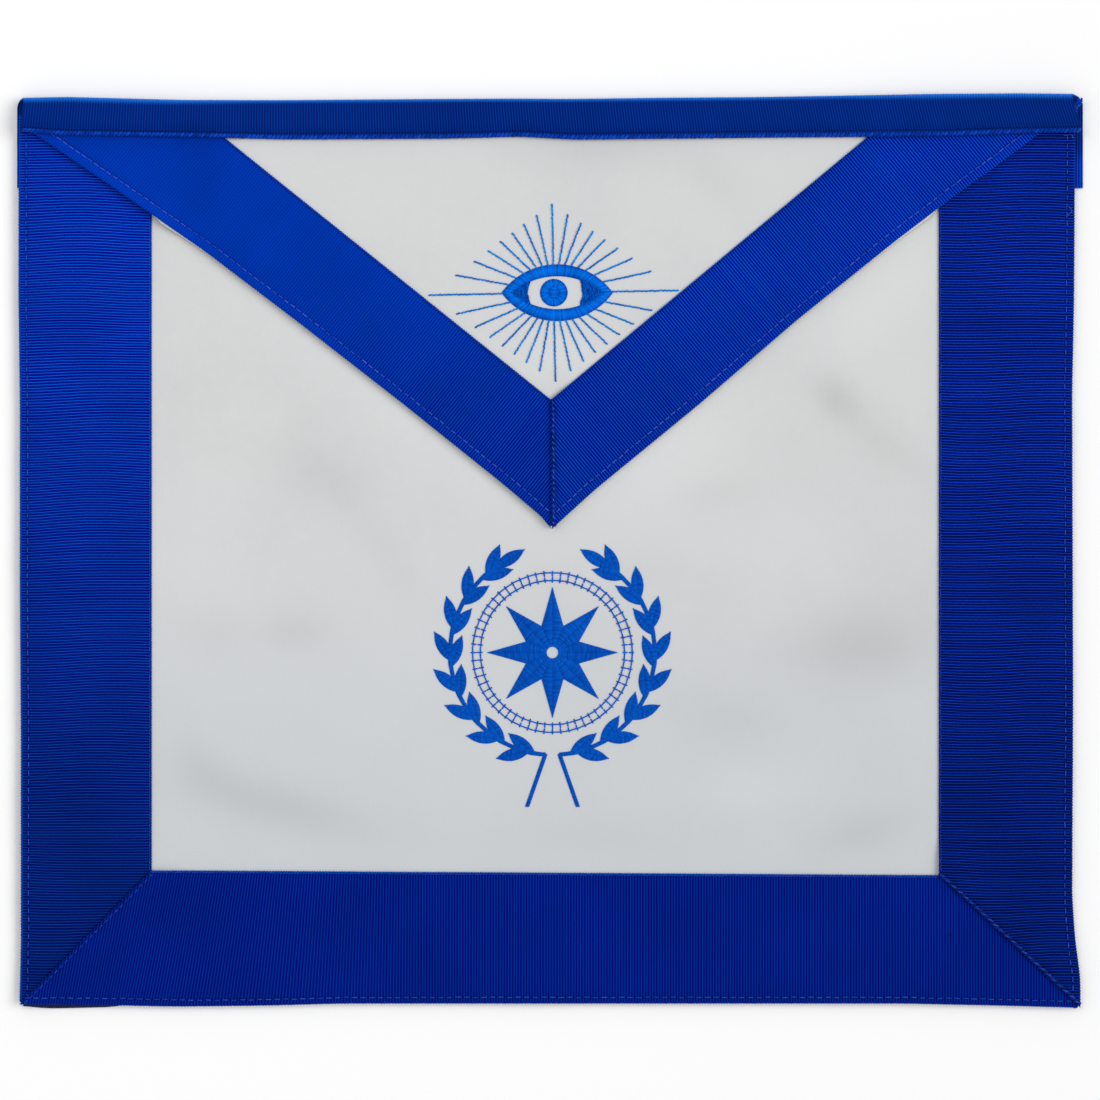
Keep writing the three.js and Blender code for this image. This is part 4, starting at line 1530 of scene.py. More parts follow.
@dataclass
class Borders:
    """The three ribbons round the panel, mitred at the lower corners."""

    lay: Lay
    weaver: Weaver
    left_finish: Material
    right_finish: Material
    bottom_finish: Material
    side_hem: float = 0.0028
    bottom_hem: float = 0.0023
    overlap_reach: float = 0.009
    past: float = 0.004
    hidden: float = 0.0006
    rib_sag: float = 0.0007
    sag_length: float = 0.06
    fan: float = 0.2
    fan_reach: float = 0.11

    def level(self, x: Array, y: Array) -> Array:
        """Returns the level of the ribbons' tops, apart from the mitres."""
        return self.lay.panel_top(x, y) + self.lay.air + self.lay.ribbon_wall

    def bottom_level(self, x: Array, y: Array) -> Array:
        """Returns the level of the bottom ribbon's top, which lies over the left one."""
        lay = self.lay
        return self.level(x, y) + lay.lap(x, y, (lay.window_left, lay.corner_left), self.overlap_reach)

    def right_level(self, x: Array, y: Array) -> Array:
        """Returns the level of the right ribbon's top, which lies over the bottom one."""
        lay = self.lay
        return self.level(x, y) + lay.lap(x, y, (lay.window_right, lay.corner_right), self.overlap_reach)

    def build(self) -> list[Object]:
        """Builds the three ribbons.

        Returns:
            The left, the right and the bottom ribbon.
        """
        lay = self.lay
        inner_left, outer_left = lay.window_left, lay.corner_left
        inner_right, outer_right = lay.window_right, lay.corner_right
        down_right = np.array([lay.tuck_under, -lay.tuck_under]) / math.sqrt(2.0)
        up_right = np.abs(down_right)
        low_y = outer_left[1] + self.hidden
        right_x = outer_right[0] - self.hidden
        left_cuts = (
            Cut(tuple(outer_left + down_right), tuple(inner_left + down_right)),
            Cut((-1.0, low_y), (1.0, low_y)),
        )
        bottom_cuts = (
            Cut(tuple(inner_left), tuple(outer_left)),
            Cut(tuple(outer_right + up_right), tuple(inner_right + up_right)),
            Cut((right_x, -1.0), (right_x, 1.0)),
        )
        ribs = self.weaver.rib_numbers(lay.under_band_y - lay.bottom_y + self.past)
        y = lay.under_band_y - ribs * self.weaver.pitch
        rows = (y, ribs)
        edges = (lay.left_edge(y), np.full_like(y, inner_left[0]))
        piece = Piece("border_ribbon_left", Slot.RIBBON, ("border_left",))
        left = self._side(piece, edges, rows, self.side_hem, self.left_finish, left_cuts)
        edges = (np.full_like(y, inner_right[0]), lay.right_edge(y))
        piece = Piece("border_ribbon_right", Slot.RIBBON, ("border_right",))
        right_cuts, over = (Cut(tuple(inner_right), tuple(outer_right)),), self.right_level
        right = self._side(piece, edges, rows, -self.side_hem, self.right_finish, right_cuts, over)
        ribs = self.weaver.rib_numbers(outer_right[0] - outer_left[0] + 2.0 * self.past)
        x = outer_left[0] - self.past + ribs * self.weaver.pitch
        low, high = lay.bottom_edge(x), lay.window_low(x)
        columns = self.weaver.columns(lay.border, self.bottom_hem)
        grid_x = np.repeat(x[:, None], len(columns), 1)
        lean = self.fan * smooth_step(1.0 - (grid_x - inner_left[0]) / self.fan_reach)
        grid_x = grid_x - lean * (high - low)[:, None] * (1.0 - columns[None, :])
        grid_y = low[:, None] + (high - low)[:, None] * columns[None, :]
        level = self.bottom_level(grid_x, grid_y) - lay.ribbon_wall / 2.0
        level -= self.weaver.hem_dip(columns * lay.border - self.bottom_hem)[None, :]
        middle = np.stack([grid_x, grid_y, level], -1)
        piece = Piece("border_ribbon_bottom", Slot.RIBBON, ("border_bottom",))
        bottom = self.weaver.weave(piece, middle, ribs, columns, self.bottom_finish, bottom_cuts)
        return [left, right, bottom]

    def _side(
        self,
        piece: Piece,
        edges: tuple[Array, Array],
        rows: tuple[Array, Array],
        hem: float,
        finish: Material,
        cuts: tuple[Cut, ...],
        over: Level | None = None,
    ) -> Object:
        """Builds a side ribbon.

        Args:
            piece: what the ribbon is called and stands for.
            edges: its left and its right edge by row.
            rows: the rows' places and rib numbers.
            hem: how far the stitches are from the left edge, or from the right one if negative.
            finish: its material.
            cuts: cuts at its ends.
            over: its level where it lies over its neighbour.

        Returns:
            The ribbon.
        """
        left, right = edges
        width = float(np.mean(right - left))
        columns = self.weaver.columns(width, hem)
        x = left[:, None] + (right - left)[:, None] * columns[None, :]
        y, ribs = rows
        sag = waves(x, np.repeat(y[:, None], len(columns), 1), 17, self.sag_length) * self.rib_sag
        grid_y = y[:, None] + sag
        level = (over or self.level)(x, grid_y) - self.lay.ribbon_wall / 2.0
        stitched = hem if hem > 0.0 else width + hem
        level -= self.weaver.hem_dip(columns * width - stitched)[None, :]
        return self.weaver.weave(piece, np.stack([x, grid_y, level], -1), ribs, columns, finish, cuts)


@dataclass
class FlapRibbons:
    """The two ribbons on the flap, which meet on a seam over its point."""

    lay: Lay
    weaver: Weaver
    left_finish: Material
    right_finish: Material
    hem: float = 0.0035
    overlap_reach: float = 0.007
    top_below: float = 0.0116
    reach_down: float = 0.05
    reach_up: float = 0.075
    hidden: float = 0.0006

    @property
    def inner_point(self) -> Array:
        """The point where the inner edges meet."""
        first, way = self.lay.flap_inner(FLAP_LEFT)
        second, other = self.lay.flap_inner(FLAP_RIGHT)
        turns = np.linalg.solve(np.stack([way, -other], 1), second - first)
        return first + way * turns[0]

    def level(self, x: Array, y: Array) -> Array:
        """Returns the level of the ribbons' tops, apart from the seam."""
        return self.lay.flap_top(x, y) + self.lay.air + self.lay.ribbon_wall

    def right_level(self, x: Array, y: Array) -> Array:
        """Returns the level of the right ribbon's top, which lies over the left one."""
        return self.level(x, y) + self.lay.lap(x, y, (self.inner_point, self.lay.tip), self.overlap_reach)

    def build(self) -> list[Object]:
        """Builds both ribbons.

        Returns:
            The left and the right ribbon.
        """
        lay = self.lay
        tip, inner = lay.tip, self.inner_point
        aside = np.array([lay.tuck_under, 0.0])
        hidden = np.array([-self.hidden, self.hidden])
        far = tip + (tip - inner) * 0.5
        top_y = lay.waist_y - self.top_below
        level_cut = Cut((1.0, top_y), (-1.0, top_y))
        left_x = lay.corner_left[0] + lay.panel_inset
        right_x = lay.corner_right[0] - lay.panel_inset
        left_cuts = (
            level_cut,
            Cut(tuple(far + aside), tuple(inner + aside)),
            Cut((left_x, 1.0), (left_x, -1.0)),
            Cut(tuple(tip + hidden), tuple(lay.flap_edge(FLAP_RIGHT)[-20] + hidden)),
        )
        right_cuts = (level_cut, Cut(tuple(inner), tuple(far)), Cut((right_x, -1.0), (right_x, 1.0)))
        west = Piece("flap_ribbon_west", Slot.RIBBON, ("flap_ribbon_left",))
        east = Piece("flap_ribbon_east", Slot.RIBBON, ("flap_ribbon_right",))
        left = self._ribbon(west, FLAP_LEFT, left_cuts, self.left_finish, self.level)
        right = self._ribbon(east, FLAP_RIGHT, right_cuts, self.right_finish, self.right_level)
        return [left, right]

    def _ribbon(
        self, piece: Piece, side: FlapSide, cuts: tuple[Cut, ...], finish: Material, level: Level
    ) -> Object:
        """Builds one ribbon.

        Args:
            piece: what the ribbon is called and stands for.
            side: which edge of the flap it follows.
            cuts: cuts at its ends.
            finish: its material.
            level: the level of its top.

        Returns:
            The ribbon.
        """
        lay = self.lay
        start, way = lay.flap_inner(side)
        outwards = np.array([side.side * way[1], -side.side * way[0]])
        edge = lay.flap_edge(side) - start
        passed, reach = edge @ way, edge @ outwards
        order = np.argsort(passed)
        length = np.linalg.norm(edge[0] - edge[-1]) + self.reach_down + self.reach_up
        ribs = self.weaver.rib_numbers(length)
        along = passed.min() - self.reach_down + ribs * self.weaver.pitch
        width = np.interp(along, passed[order], reach[order])
        hem = self.hem if side.side > 0 else -self.hem
        columns = self.weaver.columns(side.ribbon, hem)
        reach_out = width[:, None] * self._outward(columns, side)
        place = start + along[:, None, None] * way + reach_out[..., None] * outwards
        x, y = place[..., 0], place[..., 1]
        inside = (1.0 - self._outward(columns, side)) * side.ribbon
        heights = level(x, y) - lay.ribbon_wall / 2.0 - self.weaver.hem_dip(inside - self.hem)
        return self.weaver.weave(piece, np.stack([x, y, heights], -1), ribs, columns, finish, cuts)

    def _outward(self, columns: Array, side: FlapSide) -> Array:
        """Returns shares of the ribbon's width out from its inner edge, so that it faces up."""
        return (1.0 - columns if side.side > 0 else columns)[None, :]


@dataclass
class Waistband:
    """One ribbon folded over the top edge, with a short front leg and a longer back leg."""

    lay: Lay
    weaver: Weaver
    flap_ribbons: FlapRibbons
    finish: Material
    back_level: float = 0.0007
    fold_room: float = 0.0008
    puff: float = 0.0009
    settle: float = 0.007
    hem_ridge: float = 0.00035
    hem_width: float = 0.0022
    hem_valley: float = 0.0005
    seat_starts: float = 0.009
    seat_step: float = 0.006
    fold_depth: float = 1.15
    ruck: float = 0.00022
    ruck_length: float = 0.018
    # Shares of the way round the fold, and of the end cut at the left and at the right there.
    ends: tuple = ((0.0, 0.0, 0.0), (0.35, 0.0, 0.0), (0.47, 0.6, 1.0), (0.6, 0.6, 0.9), (1.0, 0.37, 0.12))

    def low_edge(self, share: Array) -> Array:
        """Returns the front leg's lower edge at shares of the band's length."""
        return self.lay.waist_y - self.lay.band_front + self.lay.band_drift * BAND_LOW.at(share)

    def top_edge(self, share: Array) -> Array:
        """Returns the fold's place at shares of the band's length."""
        return self.lay.waist_y - self.fold_room + self.lay.band_drift * BAND_TOP.at(share)

    def seat(self, share: Array) -> Array:
        """Returns the level that the front leg lies on.

        Args:
            share: evenly spaced shares of the band's length.

        Returns:
            Levels, softened along the band.
        """
        lay = self.lay
        x = self.x_at(share, np.ones_like(share))
        levels = []
        for y in np.linspace(lay.waist_y - lay.band_front, lay.waist_y - self.seat_starts, 4):
            row = np.full_like(x, y)
            on_ribbon = smooth_step(0.5 - lay.inside_flap(x, row) / self.seat_step)
            leather = lay.flap_top(x, row) * (1.0 - on_ribbon)
            levels.append(self.flap_ribbons.level(x, row) * on_ribbon + leather)
        highest = np.max(levels, axis=0)
        reach = max(3, int(self.settle / (lay.panel_width / len(share))))
        half = reach // 2
        spread = [highest[max(0, place - half):place + half + 1].max() for place in range(len(share))]
        return softened(np.array(spread), reach)

    def x_at(self, share: Array, along: Array) -> Array:
        """Returns places across, for shares of the length at shares of the way round the fold."""
        lay = self.lay
        passed, left, right = zip(*self.ends)
        left_cut, right_cut = (np.interp(along, passed, one) * lay.band_end_cut for one in (left, right))
        start = lay.centre_x - lay.panel_width / 2.0 - lay.past_left + left_cut
        end = lay.centre_x + lay.panel_width / 2.0 + lay.past_right - right_cut
        return start + share * (end - start)

    def build(self) -> Object:
        """Builds the band.

        Returns:
            The band.
        """
        lay = self.lay
        length = lay.panel_width + lay.past_left + lay.past_right
        ribs = self.weaver.rib_numbers(length)
        share = np.arange(len(ribs)) / (len(ribs) - 1)
        seat = self.seat(share) + lay.air + lay.ribbon_wall / 2.0
        low, top = self.low_edge(share), self.top_edge(share)
        front = np.concatenate([[0.0, 0.03, 0.07, 0.12, 0.17, 0.22, 0.27, 0.34], np.linspace(0.45, 1.0, 5)])
        turn = np.radians(np.linspace(90.0, -90.0, 8))[1:-1]
        back = np.concatenate([np.linspace(0.0, 0.96, 5), [0.99, 1.0]])
        half = (seat - self.back_level) / 2.0
        depth = half * self.fold_depth
        fold_y = top - depth
        rows = []
        for step in front:
            y = low + (fold_y - low) * step
            rise = self.puff * math.sin(math.pi * min(1.0, step * 0.9 + 0.1)) ** 0.8
            ridge = self.hem_ridge * self._bulge(y - low, 0.4, 0.4)
            ridge -= self.hem_valley * self._bulge(y - low, 1.25, 0.35)
            x = self.x_at(share, np.full_like(share, 1.0 - 0.4 * step))
            fade = math.sin(math.pi * min(1.0, step + 0.15))
            ruck = waves(x, y, 31, self.ruck_length) * self.ruck * fade
            rows.append((x, y, seat + rise + ridge + ruck))
        crown = rows[-1][2]
        for angle in turn:
            x = self.x_at(share, np.full_like(share, 0.475 + 0.125 * math.sin(angle)))
            level = (crown + self.back_level) / 2.0 + (crown - self.back_level) / 2.0 * math.sin(angle)
            rows.append((x, fold_y + depth * math.cos(angle), level))
        for step in back:
            y = fold_y + (lay.waist_y - lay.band_back - fold_y) * step
            x = self.x_at(share, np.full_like(share, 0.35 * (1.0 - step)))
            rows.append((x, y, np.full_like(x, self.back_level)))
        middle = np.stack([np.stack(row, -1) for row in rows], 1)
        gaps = np.linalg.norm(np.diff(middle[len(share) // 2], axis=0), axis=-1)
        across = np.concatenate([[0.0], np.cumsum(gaps)]) / gaps.sum()
        piece = Piece("waistband_ribbon", Slot.RIBBON, ("waistband",))
        return self.weaver.weave(piece, middle, ribs, across, self.finish)

    def _bulge(self, above: Array, middle: float, reach: float) -> Array:
        """Returns a bump of 1 along the hem.

        Args:
            above: how far the places are above the lower edge.
            middle: where the bump is, in hem widths.
            reach: its half width, in hem widths.

        Returns:
            Values from 0 to 1.
        """
        return np.exp(-((above - self.hem_width * middle) / (self.hem_width * reach)) ** 2)


@dataclass(frozen=True)
class Stitch:
    """The size and set of one kind of stitch."""

    pitch: float
    length: float
    radius: float = 0.00024
    rise: float = 0.00016
    dip: float = 0.00022
    slant: float = 0.0
    alternate: float = 0.0
    wander: float = 0.00006

    def inputs(self, seed: int, material: Material) -> dict[str, object]:
        """Returns the stitch tree's inputs."""
        values = {name.capitalize(): value for name, value in asdict(self).items()}
        return values | {"Seed": seed, "Material": material}


def paths_mesh(name: str, paths: list[Array]) -> Mesh:
    """Makes loose edges along paths.

    Args:
        name: the mesh's name.
        paths: points of each path.

    Returns:
        The mesh.
    """
    points, edges = [], []
    for path in paths:
        first = len(points)
        points.extend(path.tolist())
        edges.extend((first + k, first + k + 1) for k in range(len(path) - 1))
    mesh = bpy.data.meshes.new(name)
    mesh.from_pydata(points, edges, [])
    return mesh


def joined(name: str, meshes: list[Mesh]) -> Mesh:
    """Joins meshes that have the same material.

    Args:
        name: the new mesh's name.
        meshes: meshes to join.

    Returns:
        The new mesh.
    """
    work = bmesh.new()
    for mesh in meshes:
        work.from_mesh(mesh)
    made = bpy.data.meshes.new(name)
    work.to_mesh(made)
    work.free()
    made.materials.append(meshes[0].materials[0])
    made.shade_smooth()
    return made


@dataclass
class Sewing:
    """The stitches that hold the ribbons."""

    lay: Lay
    borders: Borders
    flap_ribbons: FlapRibbons
    waistband: Waistband
    thread: Material
    flap_thread: Material
    # A dark cord thread, also used as painted shadow on stitches that lie in shade.
    seam_cord: Material
    band_cord: Material
    outer_stitch: Stitch = Stitch(pitch=0.0033, length=0.0019, radius=0.00022, rise=0.00012, wander=0.00012)
    inner_stitch: Stitch = Stitch(pitch=0.0013, length=0.0011, radius=0.00013, slant=0.2, alternate=1.0)
    flap_stitch: Stitch = Stitch(pitch=0.0029, length=0.0019, radius=0.0002, rise=0.00012, wander=0.0001)
    mitre_stitch: Stitch = Stitch(pitch=0.0027, length=0.0015, radius=0.00018, rise=0.0001, wander=0.0001)
    seam_stitch: Stitch = Stitch(pitch=0.0022, length=0.0015, radius=0.0002, rise=0.00075, slant=0.5)
    fold_stitch: Stitch = Stitch(pitch=0.0031, length=0.0027, radius=0.00026, rise=0.0006, slant=0.32)
    rope_stitch: Stitch = Stitch(pitch=0.0017, length=0.0028, radius=0.0004, rise=0.0003, slant=0.4)
    band_stitch: Stitch = Stitch(pitch=0.0016, length=0.0017, radius=0.00055, rise=0.00034, slant=0.55)
    tuft_stitch: Stitch = Stitch(pitch=0.0005, length=0.0014, radius=0.0004, rise=0.0001, dip=0.0)
    groove_stitch: Stitch = Stitch(pitch=0.0033, length=0.0014, radius=0.00014, rise=0.0001, wander=0.0002)
    loose_stitch: Stitch = Stitch(pitch=0.0004, length=0.0009, radius=0.00013, rise=0.00003, dip=0.0)
    outer_inset: float = 0.0028
    bottom_inset: float = 0.0023
    inner_inset: float = 0.0006
    mitre_inset: float = 0.0013
    flap_inset: float = 0.0035
    seam_gap: float = 0.0012
    spacing: float = 0.001
    corner_gap: float = 0.003
    right_corner_gap: float = 0.004
    window_gap: float = 0.0006
    under_band: float = 0.004
    flap_under_band: float = 0.003
    flap_gap: float = 0.001
    rope_rise: float = 0.0006

    def __post_init__(self) -> None:
        """Makes the tree that sews."""
        self.tree = StitchTree()

    def build(self) -> list[Object]:
        """Sews all the rows.

        Returns:
            The rows of stitches.
        """
        flap, rim = self._flap_rows()
        fold, seam = self._seams()
        rope, groove = self._band_rows()
        rows = (
            ("stitches_outer", self._outer_rows(), self.outer_stitch, 3, self.thread),
            ("stitches_inner", self._inner_rows(), self.inner_stitch, 5, self.thread),
            ("stitches_flap", flap, self.flap_stitch, 7, self.flap_thread),
            # Dark thread as painted shadow on the stitches along the flap ribbons' inner edges.
            ("stitches_flap_inner", rim, self.inner_stitch, 9, self.seam_cord),
            ("seam_ropes", [fold, seam], self.rope_stitch, 11, self.seam_cord),
            ("stitches_seam", [seam], self.seam_stitch, 12, self.flap_thread),
            ("stitches_fold", [fold], self.fold_stitch, 14, self.thread),
            ("stitches_mitre", [self._mitre()], self.mitre_stitch, 15, self.thread),
            ("band_rope", [rope], self.band_stitch, 13, self.band_cord),
            # Dark thread as painted shade on the stitches in the groove above the band's rope.
            ("stitches_band", [groove], self.groove_stitch, 17, self.seam_cord),
            ("loose_threads", self._loose(LOOSE_ENDS), self.loose_stitch, 19, self.flap_thread),
            ("band_tuft", self._loose(BAND_TUFT), self.tuft_stitch, 21, self.band_cord),
            ("snag", self._loose(SNAG), self.loose_stitch, 23, self.seam_cord),
        )
        return [self._sew(*row) for row in rows]

    def _sides(self, paths: list[Array]) -> list[Array]:
        """Returns the left, right and bottom rows, lifted onto their ribbons."""
        levels = (self.borders.level, self.borders.right_level, self.borders.bottom_level)
        return [self._lift(*pair) for pair in zip(paths, levels)]

    def _outer_rows(self) -> list[Array]:
        """Returns the rows along the borders' outer edges."""
        lay, spacing = self.lay, self.spacing
        y = np.arange(lay.bottom_y + self.corner_gap, lay.waist_y - lay.band_front + self.under_band, spacing)
        left = np.stack([lay.left_edge(y) + self.outer_inset, y], -1)
        right = np.stack([lay.right_edge(y) - self.outer_inset, y], -1)
        first, last = lay.corner_left[0] + self.corner_gap, lay.corner_right[0] - self.right_corner_gap
        x = np.arange(first, last, spacing)
        return self._sides([left, right, np.stack([x, lay.bottom_edge(x) + self.bottom_inset], -1)])

    def _inner_rows(self) -> list[Array]:
        """Returns the rows along the borders' inner edges."""
        lay, spacing = self.lay, self.spacing
        low, high = lay.window_left[1] + self.window_gap, lay.waist_y - lay.band_front + self.under_band
        y = np.arange(low, high, spacing)
        left = np.stack([np.full_like(y, lay.window_left[0] - self.inner_inset), y], -1)
        right = np.stack([np.full_like(y, lay.window_right[0] + self.inner_inset), y], -1)
        x = np.arange(lay.window_left[0] + self.window_gap, lay.window_right[0] - self.window_gap, spacing)
        bottom = np.stack([x, lay.window_low(x) - self.inner_inset], -1)
        return self._sides([self._outside_flap(left), self._outside_flap(right), bottom])

    def _flap_rows(self) -> tuple[list[Array], list[Array]]:
        """Returns the rows along the flap ribbons' outer edges, and along their inner ones."""
        lay, foot = self.lay, self.flap_ribbons.inner_point
        flap, rim = [], []
        for side in (FLAP_LEFT, FLAP_RIGHT):
            edge = lay.flap_edge(side)
            path = self._under_band(edge - square_to(edge) * side.side * self.flap_inset)
            seam = np.interp(path[:, 1], (lay.tip[1], foot[1]), (lay.tip[0], foot[0]))
            path = path[side.side * (path[:, 0] - seam) > self.seam_gap]
            level = self.flap_ribbons.level if side.side < 0 else self.flap_ribbons.right_level
            flap.append(self._lift(path, level))
            _, lean = lay.flap_inner(side)
            length = (lay.waist_y - lay.band_front + self.flap_under_band - foot[1]) / lean[1]
            out = np.array([side.side * lean[1], -side.side * lean[0]])
            along = np.arange(self.flap_gap, length, self.spacing)
            path = foot + along[:, None] * lean + out * self.inner_inset
            rim.append(self._lift(path, level))
        return flap, rim

    def _mitre(self) -> Array:
        """Returns the row along the left mitre."""
        start, end = self.lay.window_left, self.lay.corner_left
        share = np.linspace(0.02, 0.97, 70)[:, None]
        mitre = start + (end - start) * share + self.mitre_inset * np.array([0.7071, -0.7071])
        return self._lift(mitre, self.borders.bottom_level)

    def _band_rows(self) -> tuple[Array, Array]:
        """Returns the rope along the band's lower edge, and the row of stitches above it."""
        band, share = self.waistband, np.linspace(0.004, 0.996, 400)
        x = band.x_at(share, np.ones_like(share))
        level = band.seat(share) + self.lay.air + self.lay.ribbon_wall
        rope = np.stack([x, band.low_edge(share) + self.rope_rise, level + band.hem_ridge * 1.5], -1)
        groove = np.stack([x, band.low_edge(share) + band.hem_width * 1.1, level + band.hem_ridge], -1)
        return rope, groove

    def _loose(self, ends: tuple[LooseEnd, ...]) -> list[Array]:
        """Returns the curly paths of loose thread ends, from their table."""
        lay, paths = self.lay, []
        for number, end in enumerate(ends):
            share = np.linspace(0.0, 1.0, 12)
            bend = math.radians(end.turn) + np.sin(share * 4.0 + number) * 0.9
            steps = np.stack([np.cos(bend), np.sin(bend)], -1) * end.length / len(share)
            path = lay.place(end.across, end.below) + np.cumsum(steps, axis=0)
            level = self.borders.right_level(path[:, 0], path[:, 1]) + end.lift * (1.0 - share * 0.3)
            paths.append(np.column_stack([path, level]))
        return paths

    def _seams(self) -> list[Array]:
        """Returns paths along the right mitre and the flap's seam."""
        lay = self.lay
        start, end = lay.window_right, lay.corner_right
        share = np.linspace(0.01, 0.97, 70)[:, None]
        mitre = start + (end - start) * share + np.array([0.0006, 0.0006])
        first = self._lift(mitre, self.borders.right_level)
        start, end = self.flap_ribbons.inner_point, lay.tip
        share = np.linspace(0.02, 0.96, 50)[:, None]
        seam = start + (end - start) * share + np.array([0.0007, 0.0])
        return [first, self._lift(seam, self.flap_ribbons.right_level)]

    def _under_band(self, path: Array) -> Array:
        """Returns the part of a path below the waistband's front leg."""
        return path[path[:, 1] < self.lay.waist_y - self.lay.band_front + self.flap_under_band]

    def _outside_flap(self, path: Array) -> Array:
        """Returns the part of a path that the flap leaves open."""
        lay = self.lay
        left, right = lay.flap_edge(FLAP_LEFT), lay.flap_edge(FLAP_RIGHT)
        low_left = np.interp(path[:, 0], left[:, 0], left[:, 1])
        low_right = np.interp(path[:, 0], right[::-1, 0], right[::-1, 1])
        low = np.where(path[:, 0] < lay.tip[0], low_left, low_right)
        return path[path[:, 1] < low - self.flap_gap]

    def _lift(self, path: Array, level: Level) -> Array:
        """Puts a path on a surface.

        Args:
            path: points in plan.
            level: the surface's heights.

        Returns:
            Points in space.
        """
        return np.column_stack([path, level(path[:, 0], path[:, 1])])

    def _sew(self, name: str, paths: list[Array], stitch: Stitch, seed: int, thread: Material) -> Object:
        """Sews stitches along paths.

        Args:
            name: the piece's name.
            paths: the paths.
            stitch: the kind of stitch.
            seed: a fixed seed.
            thread: its thread.

        Returns:
            The stitches.
        """
        mesh = self.tree.apply(name, paths_mesh(name, paths), stitch.inputs(seed, thread))
        mesh.shade_smooth()
        return Piece(name, Slot.ROYAL).hang(mesh)


@dataclass
class Embroidery:
    """Satin, fill and running stitches on one surface."""

    satin_tree: SatinTree
    stitch_tree: StitchTree
    thread: Material
    level: Level
    thread_radius: float = 0.0002
    thread_spacing: float = 0.00031
    padding: float = 0.00045
    unevenness: float = 0.00004
    satin_points: int = 5
    pad_height: float = 0.00008
    pad_foot: float = 0.00015
    fill_stitch: Stitch = Stitch(
        pitch=0.0013, length=0.00135, radius=0.00019, rise=0.00012, dip=0.0001, wander=0.0002
    )

    def satin(self, name: str, rails: Rails, puff: float, seed: int) -> list[Mesh]:
        """Lays threads between pairs of rails, over a low pad.

        Args:
            name: the meshes' name.
            rails: pairs of lines in plan, with as many points each.
            puff: how far the threads arch.
            seed: a fixed seed.

        Returns:
            The pads and the threads.
        """
        threads, pads = [], []
        for first, second in rails:
            lengths = [np.linalg.norm(np.diff(rail, axis=0), axis=1).sum() for rail in (first, second)]
            count = max(2, math.ceil(max(lengths) / self.thread_spacing))
            ends = [self._spread(rail, count) for rail in (first, second)]
            for start, end in zip(*ends):
                pair = np.stack([start, end])
                base = self.level(pair[:, 0], pair[:, 1]) + self.thread_radius * 0.6
                threads.append(np.column_stack([pair, base]))
            pads.append(self._pad(name, self._spread(first, 24), self._spread(second, 24), puff))
        values = {
            "Radius": self.thread_radius,
            "Puff": puff,
            "Points": self.satin_points,
            "Unevenness": self.unevenness,
            "Seed": seed,
            "Material": self.thread,
        }
        return [*pads, self.satin_tree.apply(name + "_threads", paths_mesh(name, threads), values)]

    def running(
        self,
        name: str,
        paths: list[Array],
        stitch: Stitch,
        seed: int,
        lift: float = 0.0,
        thread: Material | None = None,
    ) -> Mesh:
        """Sews running stitches along lines in plan.

        Args:
            name: the mesh's name.
            paths: the lines.
            stitch: the kind of stitch.
            seed: a fixed seed.
            lift: how far above the surface they lie.
            thread: another thread than the usual one, if any.

        Returns:
            The stitches.
        """
        lifted = [np.column_stack([path, self.level(path[:, 0], path[:, 1]) + lift]) for path in paths]
        values = stitch.inputs(seed, thread or self.thread)
        return self.stitch_tree.apply(name, paths_mesh(name, lifted), values)

    def fill(self, name: str, rows: Rails, seed: int, bend: float = 0.0) -> list[Mesh]:
        """Fills a shape with rows of short stitches over a pad.

        Args:
            name: the meshes' name.
            rows: the two rails that the rows run between.
            seed: a fixed seed.
            bend: how far the first row bows towards the last one.

        Returns:
            The pads and the stitches.
        """
        paths, pads = [], []
        for first, second in rows:
            length = np.linalg.norm(np.diff(first, axis=0), axis=1).sum()
            count = max(2, math.ceil(length / self.thread_spacing))
            starts, ends = self._spread(first, count), self._spread(second, count)
            onwards = first[-1] + second[-1] - first[0] - second[0]
            onwards = onwards / np.linalg.norm(onwards) * bend
            for k, (start, end) in enumerate(zip(starts, ends)):
                slip = (end - start) * (0.12 if k % 2 else 0.0)
                share = np.linspace(0.0, 1.0, 6)[:, None]
                bow = onwards * (1.0 - k / count) * np.sin(math.pi * share)
                paths.append(start + slip * 0.2 + (end - start) * share + bow)
            pads.append(self._pad(name, self._spread(first, 24), self._spread(second, 24), 0.0, onwards))
        return [*pads, self.running(name, paths, self.fill_stitch, seed, self.padding * 0.6)]

    def _pad(self, name: str, first: Array, second: Array, puff: float, bend: Array | float = 0.0) -> Mesh:
        """Makes a low closed pad between two rails.

        Args:
            name: the mesh's name.
            first: one rail.
            second: the other rail.
            puff: how far the threads over it arch.
            bend: which way and how far the first row bows.

        Returns:
            The pad.
        """
        share = np.linspace(0.02, 0.98, 7)
        place = first[:, None, :] + (second - first)[:, None, :] * share[None, :, None]
        fading = np.linspace(1.0, 0.0, len(first))[:, None, None]
        place = place + bend * fading * np.sin(math.pi * share)[None, :, None]
        x, y = place[..., 0], place[..., 1]
        ground = self.level(x, y)
        wide = np.linalg.norm(second - first, axis=1)[:, None]
        rise = np.minimum(puff, wide * 0.4) * np.sin(math.pi * share)[None, :] ** 0.6 * 0.75
        top = np.stack([x, y, ground + self.pad_height + rise], -1)
        mesh = closed_slab(name, top, np.stack([x, y, ground - self.pad_foot], -1))
        face_out(mesh)
        mesh.materials.append(self.thread)
        return mesh

    def _spread(self, rail: Array, count: int) -> Array:
        """Spreads points evenly along a line."""
        gaps = np.linalg.norm(np.diff(rail, axis=0), axis=1)
        passed = np.concatenate([[0.0], np.cumsum(gaps)])
        wanted = np.linspace(0.0, passed[-1], count)
        return np.column_stack([np.interp(wanted, passed, rail[:, 0]), np.interp(wanted, passed, rail[:, 1])])


